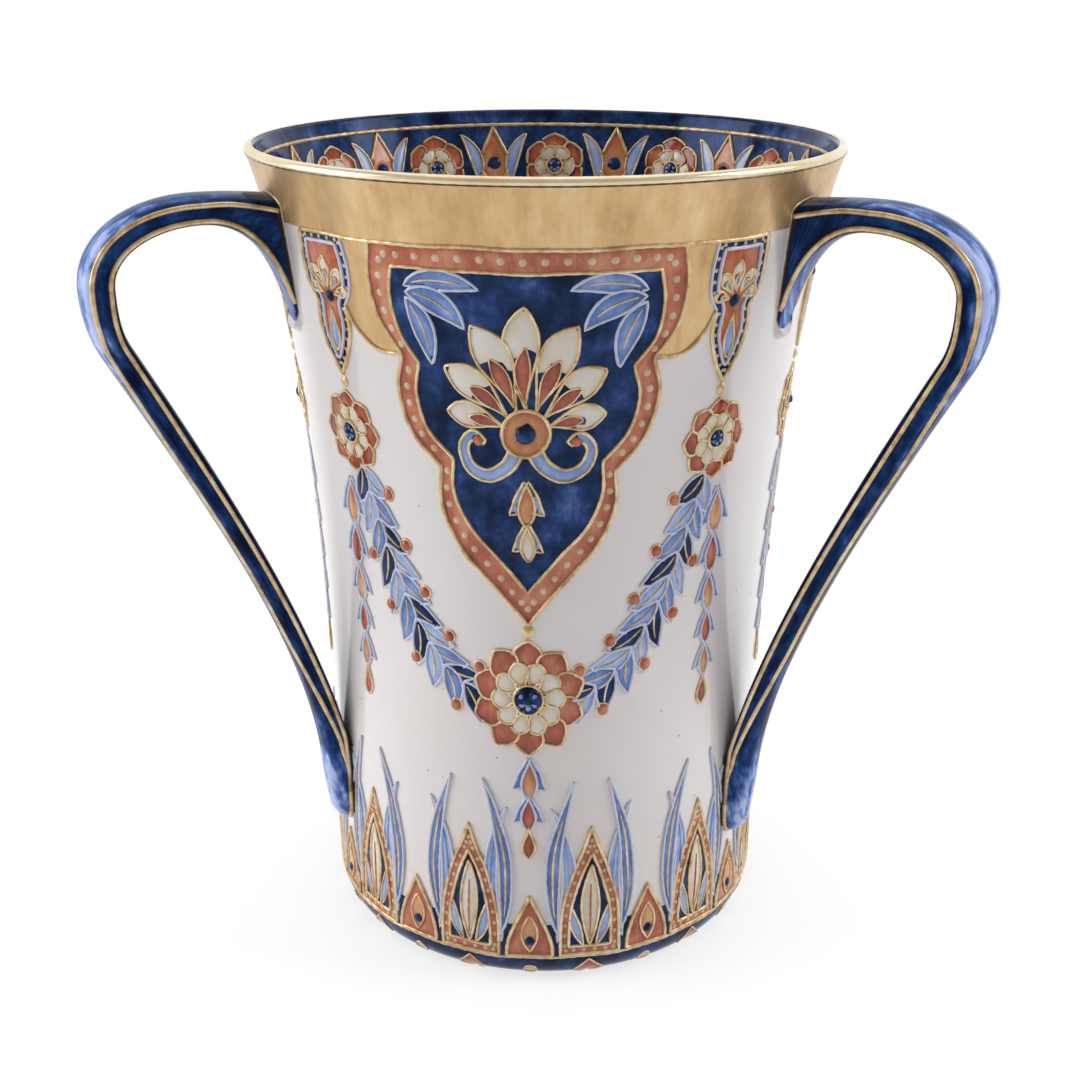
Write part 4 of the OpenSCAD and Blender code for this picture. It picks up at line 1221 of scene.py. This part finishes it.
def drawFestoon(sheet):
    look = festoon
    sideU, sideH = sideDrops["rose"]
    hanging = [(u * sideU, look["rose"] + h * (sideH - look["rose"])) for u, h in look["shares"]]
    spine = openCurve(hanging, 16)
    clear = np.hypot(spine[:, 0], spine[:, 1] - look["rose"]) > 0.85 * look["roseR"]
    clear &= np.hypot(spine[:, 0] - sideU, spine[:, 1] - sideH) > 0.7 * sideDrops["roseR"]
    swing, reach, berryR = look["berry"]
    shortL, longL = look["leafL"]
    for side in (1, -1):
        path = evenPath(at(spine[clear], 0, 0, side), 0.4)
        lineShape(sheet, "goldLine", path, 0.46)
        ahead = np.gradient(path, axis=0)
        for i in range(look["pairs"]):
            share = (i + 0.2) / look["pairs"]
            spot = int(share * (len(path) - 1))
            lean = math.atan2(ahead[spot][1], ahead[spot][0])
            length = shortL + (longL - shortL) * math.sin(math.pi * (0.12 + 0.76 * share))
            for hand in (1, -1):
                a = lean + math.radians(look["open"]) * hand
                tip = path[spot] + length * np.array([math.cos(a), math.sin(a)])
                colour = ("midBlue", "paleBlue", "cobalt")[(2 * i + hand) % 3]
                leaf(sheet, colour, "paleLine", path[spot], tip, look["leafW"], -0.10 * hand, 0.46,
                     0.10 + 0.02 * (i % 2), 0.38, "goldLine")
            # berries beside every second pair
            for hand in (1, -1) if i % 2 else ():
                a = lean + math.radians(swing) * hand
                berry = path[spot] + reach * np.array([math.cos(a), math.sin(a)])
                dot(sheet, "rust", *berry, berryR, 0.2)
                lineShape(sheet, "goldLine", circleShape(*berry, berryR), 0.26, True)
    rosette(sheet, 0, look["rose"], look["roseR"], 10, "rust", "cream", "goldLine")
    for i, (top, size) in enumerate(look["husks"]):
        husk(sheet, 0, top, size, "rust" if i % 2 else "ember", "midBlue", "paleLine")
    start, end, width = look["drop"]
    leaf(sheet, "rust", "goldLine", (0, start), (0, end), width, 0.0, 0.66, 0.12, 0.36)


# upright leaves round the foot, tall and short by turns, on a band that runs under the bottom corner
footBand = {"tall": [(0, 1), (0.26, 0.84), (0.58, 0.66), (0.86, 0.42), (0.97, 0.2), (1, 0)],
            "short": [(0, 1), (0.3, 0.79), (0.68, 0.52), (0.93, 0.24), (1, 0)],
            "tallH": 44.0, "tallW": 8.6, "shortH": 25.0, "shortW": 6.4, "base": 8.0, "under": -2.6,
            "ground": 17.0, "border": 2.4, "beads": (3.2, 0.6), "heart": (10.6, 34.0, 4.8),
            "wing": ((1.8, 10.6), (5.0, 22.0), 2.6), "bud": (9.4, 20.0, 4.6), "budRun": (4.0, 27.0),
            "eye": (12.6, 1.3), "stud": (2.8, 1.9), "bladeW": 3.8,
            "blades": [("paleBlue", "midBlue", (9.4, 12.0), (11.2, 50.0), 0.11, 0.4, 0.15),
                       ("midBlue", "goldLine", (9.0, 14.0), (4.6, 57.0), -0.08, 0.42, 0.17)],
            "lozenge": [(4.6, 2.6), (0, 6.4), (-4.6, 2.6), (0, -1.4)]}


def lappet(shares, half, height):
    base = footBand["base"]
    side = [(half * u, base + (height - base) * h) for u, h in shares]
    return symmetric(cornered(side, [(half, base), (half / 2, base), (0, base)]))


def drawFoot(sheet, half):
    look = footBand
    tall = lappet(look["tall"], look["tallW"], look["tallH"])
    short = lappet(look["short"], look["shortW"], look["shortH"])
    low, base, top = look["under"], look["base"], look["ground"]
    fillShape(sheet, "cobalt", [(-half, low), (half, low), (half, top), (-half, top)], 0.10, 0.0, 1.2)
    lineShape(sheet, "goldLine", [(-half, base - 0.6), (0, base - 0.6), (half, base - 0.6)], 0.42)
    heartLow, heartTop, heartW = look["heart"]
    wingFoot, wingTip, wingW = look["wing"]
    for i in (-3, -1, 1, 3):
        u = half * i / 4
        for side in (1, -1):
            for fill, rib, foot, end, bend, fat, lift in look["blades"]:
                root, tip = at([foot, end], u, 0, side)
                leaf(sheet, fill, "paleLine", root, tip, look["bladeW"], bend * side, fat, lift, 0.42, rib)
        shape = at(tall, u, 0)
        field = inset(shape, look["border"])
        panel(sheet, shape, field, "cobalt", "rust", "goldLine", *look["beads"], 0.16)
        lineShape(sheet, "goldLine", shape, 0.52, True)
        leaf(sheet, "cream", "goldLine", (u, heartLow), (u, heartTop), heartW, 0.0, 0.5, 0.26, 0.38, "rust")
        for side in (1, -1):
            root, tip = at([wingFoot, wingTip], u, 0, side)
            leaf(sheet, "paleBlue", "goldLine", root, tip, wingW, -0.06 * side, 0.5, 0.3, 0.3)
        edged(sheet, "rust", "goldLine", at(look["lozenge"], u, 0), 0.13, 0.02, 0.24, 0.9)
    budLow, budTop, budW = look["bud"]
    runLow, runTop = look["budRun"]
    for i in (-2, 0, 2, 4):
        u = half * i / 4
        edged(sheet, "rust", "goldLine", at(short, u, 0), 0.18, 0.16, 0.52, 1.6, ((u, runLow), (u, runTop)))
        leaf(sheet, "ember", "goldLine", (u, budLow), (u, budTop), budW, 0.0, 0.5, 0.32, 0.34)
        dot(sheet, "cobalt", u, *look["eye"], 0.55)
        edged(sheet, "cream", "goldLine", circleShape(u, *look["stud"]), 0.13, 0.02, 0.24, 0.8)


# border inside the rim
innerBand = {"units": 12, "top": 198.6, "line": 196.1, "middle": 185.2, "roseR": 8.4, "low": 170.5,
             "rise": 5.63, "lozenge": [(0, 195.4), (4.8, 186.0), (0, 177.6), (-4.8, 186.0)],
             "eye": (186.0, 1.7), "wing": ((4.6, 180.2), (9.0, 193.8), 3.3)}


def drawInner(sheet):
    look = innerBand
    step = 2 * math.pi * draw["across"] / look["units"]
    s = np.linspace(-1, 1, 17)
    swag = np.stack([s * step / 2, look["low"] + look["rise"] * s ** 2], -1)
    wingFoot, wingTip, wingW = look["wing"]
    for i in range(look["units"]):
        u = step * (i - look["units"] / 2)
        low = at(swag, u, 0)
        upper = [(u + side * step / 2, look["top"]) for side in (1, 0, -1)]
        fillShape(sheet, "cobalt", np.concatenate([low, upper]), 0.05, 0.0)
        lineShape(sheet, "goldLine", low, 0.6)
        rosette(sheet, u, look["middle"], look["roseR"], 6, "rust", "cream", "goldLine")
        v = u + step / 2
        edged(sheet, "ember", "goldLine", at(look["lozenge"], v, 0), 0.12, 0.16, 0.5, 1.4)
        dot(sheet, "cobalt", v, *look["eye"], 0.3)
        for side in (1, -1):
            root, tip = at([wingFoot, wingTip], v, 0, side)
            leaf(sheet, "paleBlue", "goldLine", root, tip, wingW, 0.12 * side, 0.5, 0.12, 0.34)
    ringLine(sheet, "goldLine", look["line"], 0.5)


# bays between the handles: the middle of each and half its width in degrees
bays = {"front": (-91.5, 61.5), "right": (30.0, 60.0), "left": (148.5, 58.5)}


def makeOrnament():
    foot = freshSheet()
    for bay, (name, (centre, half)) in enumerate(bays.items()):
        sheet = freshSheet()
        drawMiddlePanel(sheet)
        drawSidePanels(sheet)
        drawPanelLine(sheet)
        drawFestoon(sheet)
        drawSideDrops(sheet)
        solids = {"goldLine": ["panel_line_" + name, "field_line_" + name], "midBlue": ["festoon_" + name]}
        layPaint(name, sheet, centre, bay, outside, solids)
        sheet = freshSheet()
        drawFoot(sheet, math.radians(half) * draw["across"])
        addTurned(foot, sheet, centre, bay)
    layPaint("foot", foot, 0.0, None, outside, {"goldLine": ["leaf_line_foot"]})
    # a fine dark line where the lip's gilding meets the band, painted shade along the lower edge of the
    # rounded lip
    sheet = freshSheet()
    ringLine(sheet, "umber", gilt["top"] - 0.1, 0.2)
    layPaint("rim", sheet, 0.0, None, outside, {})
    sheet = freshSheet()
    drawInner(sheet)
    layPaint("inner", sheet, -90.0, None, inside, {"goldLine": ["swag_line_inside", "rim_line_inside"]})


makeOrnament()
print("ornament painted")

# floor and backdrop in one pale sheet: near the cup it shows its shadow, further off it is white
sheetLook = {"tone": (0.86, 0.86, 0.87), "paler": (0.88, 0.88, 0.88), "shown": 0.72, "lit": 0.36,
             "cloudScale": 3.0, "half": 14.0, "near": 0.16, "far": 0.42}


def makeFloor():
    mesh = bpy.data.meshes.new("floor")
    h = sheetLook["half"]
    mesh.from_pydata([(-h, -h, 0), (h, -h, 0), (h, h, 0), (-h, h, 0)], [], [(0, 1, 2, 3)])
    floor = bpy.data.objects.new("floor", mesh)
    scene.collection.objects.link(floor)
    finish = bpy.data.materials.new("paleSheet")
    finish.use_nodes = True
    tree = finish.node_tree
    tree.nodes.clear()
    where = addNode(tree, "ShaderNodeTexCoord").outputs["Object"]
    cloud = clouds(tree, where, sheetLook["cloudScale"])
    tone = blend(tree, cloud, (*sheetLook["tone"], 1), (*sheetLook["paler"], 1))
    plain = addNode(tree, "ShaderNodeBsdfDiffuse", {"Color": tone})
    litPart = addNode(tree, "ShaderNodeBsdfDiffuse", {"Color": (sheetLook["lit"],) * 3 + (1,)})
    glow = addNode(tree, "ShaderNodeEmission", {"Color": (1, 1, 1, 1), "Strength": sheetLook["shown"]})
    paper = addNode(tree, "ShaderNodeEmission", {"Color": (1, 1, 1, 1), "Strength": 1.0})
    shadowed = addNode(tree, "ShaderNodeAddShader", {0: litPart.outputs[0], 1: glow.outputs[0]})
    away = addNode(tree, "ShaderNodeVectorMath", {0: where}, operation="LENGTH").outputs["Value"]
    span = {"Value": away, "From Min": sheetLook["near"], "From Max": sheetLook["far"]}
    fade = addNode(tree, "ShaderNodeMapRange", span, interpolation_type="SMOOTHSTEP")
    shown = addNode(tree, "ShaderNodeMixShader", {0: fade.outputs["Result"], 1: shadowed.outputs[0],
                                                  2: paper.outputs[0]})
    path = addNode(tree, "ShaderNodeLightPath")
    seen = sums(tree, "ADD", path.outputs["Is Camera Ray"], path.outputs["Is Glossy Ray"])
    seen = addNode(tree, "ShaderNodeMath", {0: seen, 1: path.outputs["Is Transmission Ray"]},
                   operation="ADD", use_clamp=True)
    mixed = addNode(tree, "ShaderNodeMixShader", {0: seen.outputs[0], 1: plain.outputs[0],
                                                  2: shown.outputs[0]})
    out = addNode(tree, "ShaderNodeOutputMaterial")
    tree.links.new(mixed.outputs[0], out.inputs["Surface"])
    mesh.materials.append(finish)


# the room is dim and warm towards -Y, and bright and cool at the sides and behind
room = {"warm": (1.0, 0.945, 0.88), "cool": (0.935, 0.97, 1.045), "fill": (-0.8, -0.2, 0.16, 0.63),
        "mirrored": (0.38, 0.62, 0.34, 1.1)}


def roomLight(tree, rise, span):
    low, high, dim, bright = span
    tone = blend(tree, spread(tree, rise, low, high, 0.0, 1.0), (*room["warm"], 1), (*room["cool"], 1))
    strength = spread(tree, rise, low, high, dim, bright)
    return addNode(tree, "ShaderNodeBackground", {"Color": tone, "Strength": strength})


def makeWorld():
    world = bpy.data.worlds.new("studio")
    scene.world = world
    world.use_nodes = True
    tree = world.node_tree
    tree.nodes.clear()
    way = addNode(tree, "ShaderNodeTexCoord").outputs["Generated"]
    rise = addNode(tree, "ShaderNodeSeparateXYZ", {"Vector": way}).outputs["Y"]
    glossy = roomLight(tree, rise, room["mirrored"])
    fill = roomLight(tree, rise, room["fill"])
    seen = addNode(tree, "ShaderNodeBackground", {"Color": (1, 1, 1, 1), "Strength": 1.0})
    path = addNode(tree, "ShaderNodeLightPath")
    first = addNode(tree, "ShaderNodeMixShader", {0: path.outputs["Is Glossy Ray"], 1: fill.outputs[0],
                                                  2: glossy.outputs[0]})
    second = addNode(tree, "ShaderNodeMixShader", {0: path.outputs["Is Camera Ray"], 1: first.outputs[0],
                                                   2: seen.outputs[0]})
    out = addNode(tree, "ShaderNodeOutputWorld")
    tree.links.new(second.outputs[0], out.inputs["Surface"])


lamps = {"keyLeft": {"at": (-1.08, -0.12, 0.40), "aim": (0, 0, 0.1), "size": (0.7, 0.9), "power": 8.3,
                     "tone": (0.98, 0.99, 1.0)},
         "fillRight": {"at": (1.1, -0.02, 0.65), "aim": (0, 0, 0.1), "size": (0.5, 0.9), "power": 6.6,
                       "tone": (0.98, 0.99, 1.0)},
         "overhead": {"at": (0.0, 0.25, 1.2), "aim": (0, 0, 0.05), "size": (1.0, 0.8), "power": 2.5,
                      "tone": (1.0, 1.0, 1.0)}}


def makeLamps():
    for name, look in lamps.items():
        lamp = bpy.data.lights.new(name, "AREA")
        lamp.shape = "RECTANGLE"
        lamp.size, lamp.size_y = look["size"]
        lamp.energy = look["power"]
        lamp.color = look["tone"]
        holder = bpy.data.objects.new(name, lamp)
        holder.location = look["at"]
        way = np.array(look["aim"]) - np.array(look["at"])
        flat = math.hypot(way[0], way[1])
        holder.rotation_euler = (math.atan2(flat, -way[2]), 0.0, math.atan2(way[1], way[0]) - math.pi / 2)
        scene.collection.objects.link(holder)


makeFloor()
makeWorld()
makeLamps()
print("stage lit")
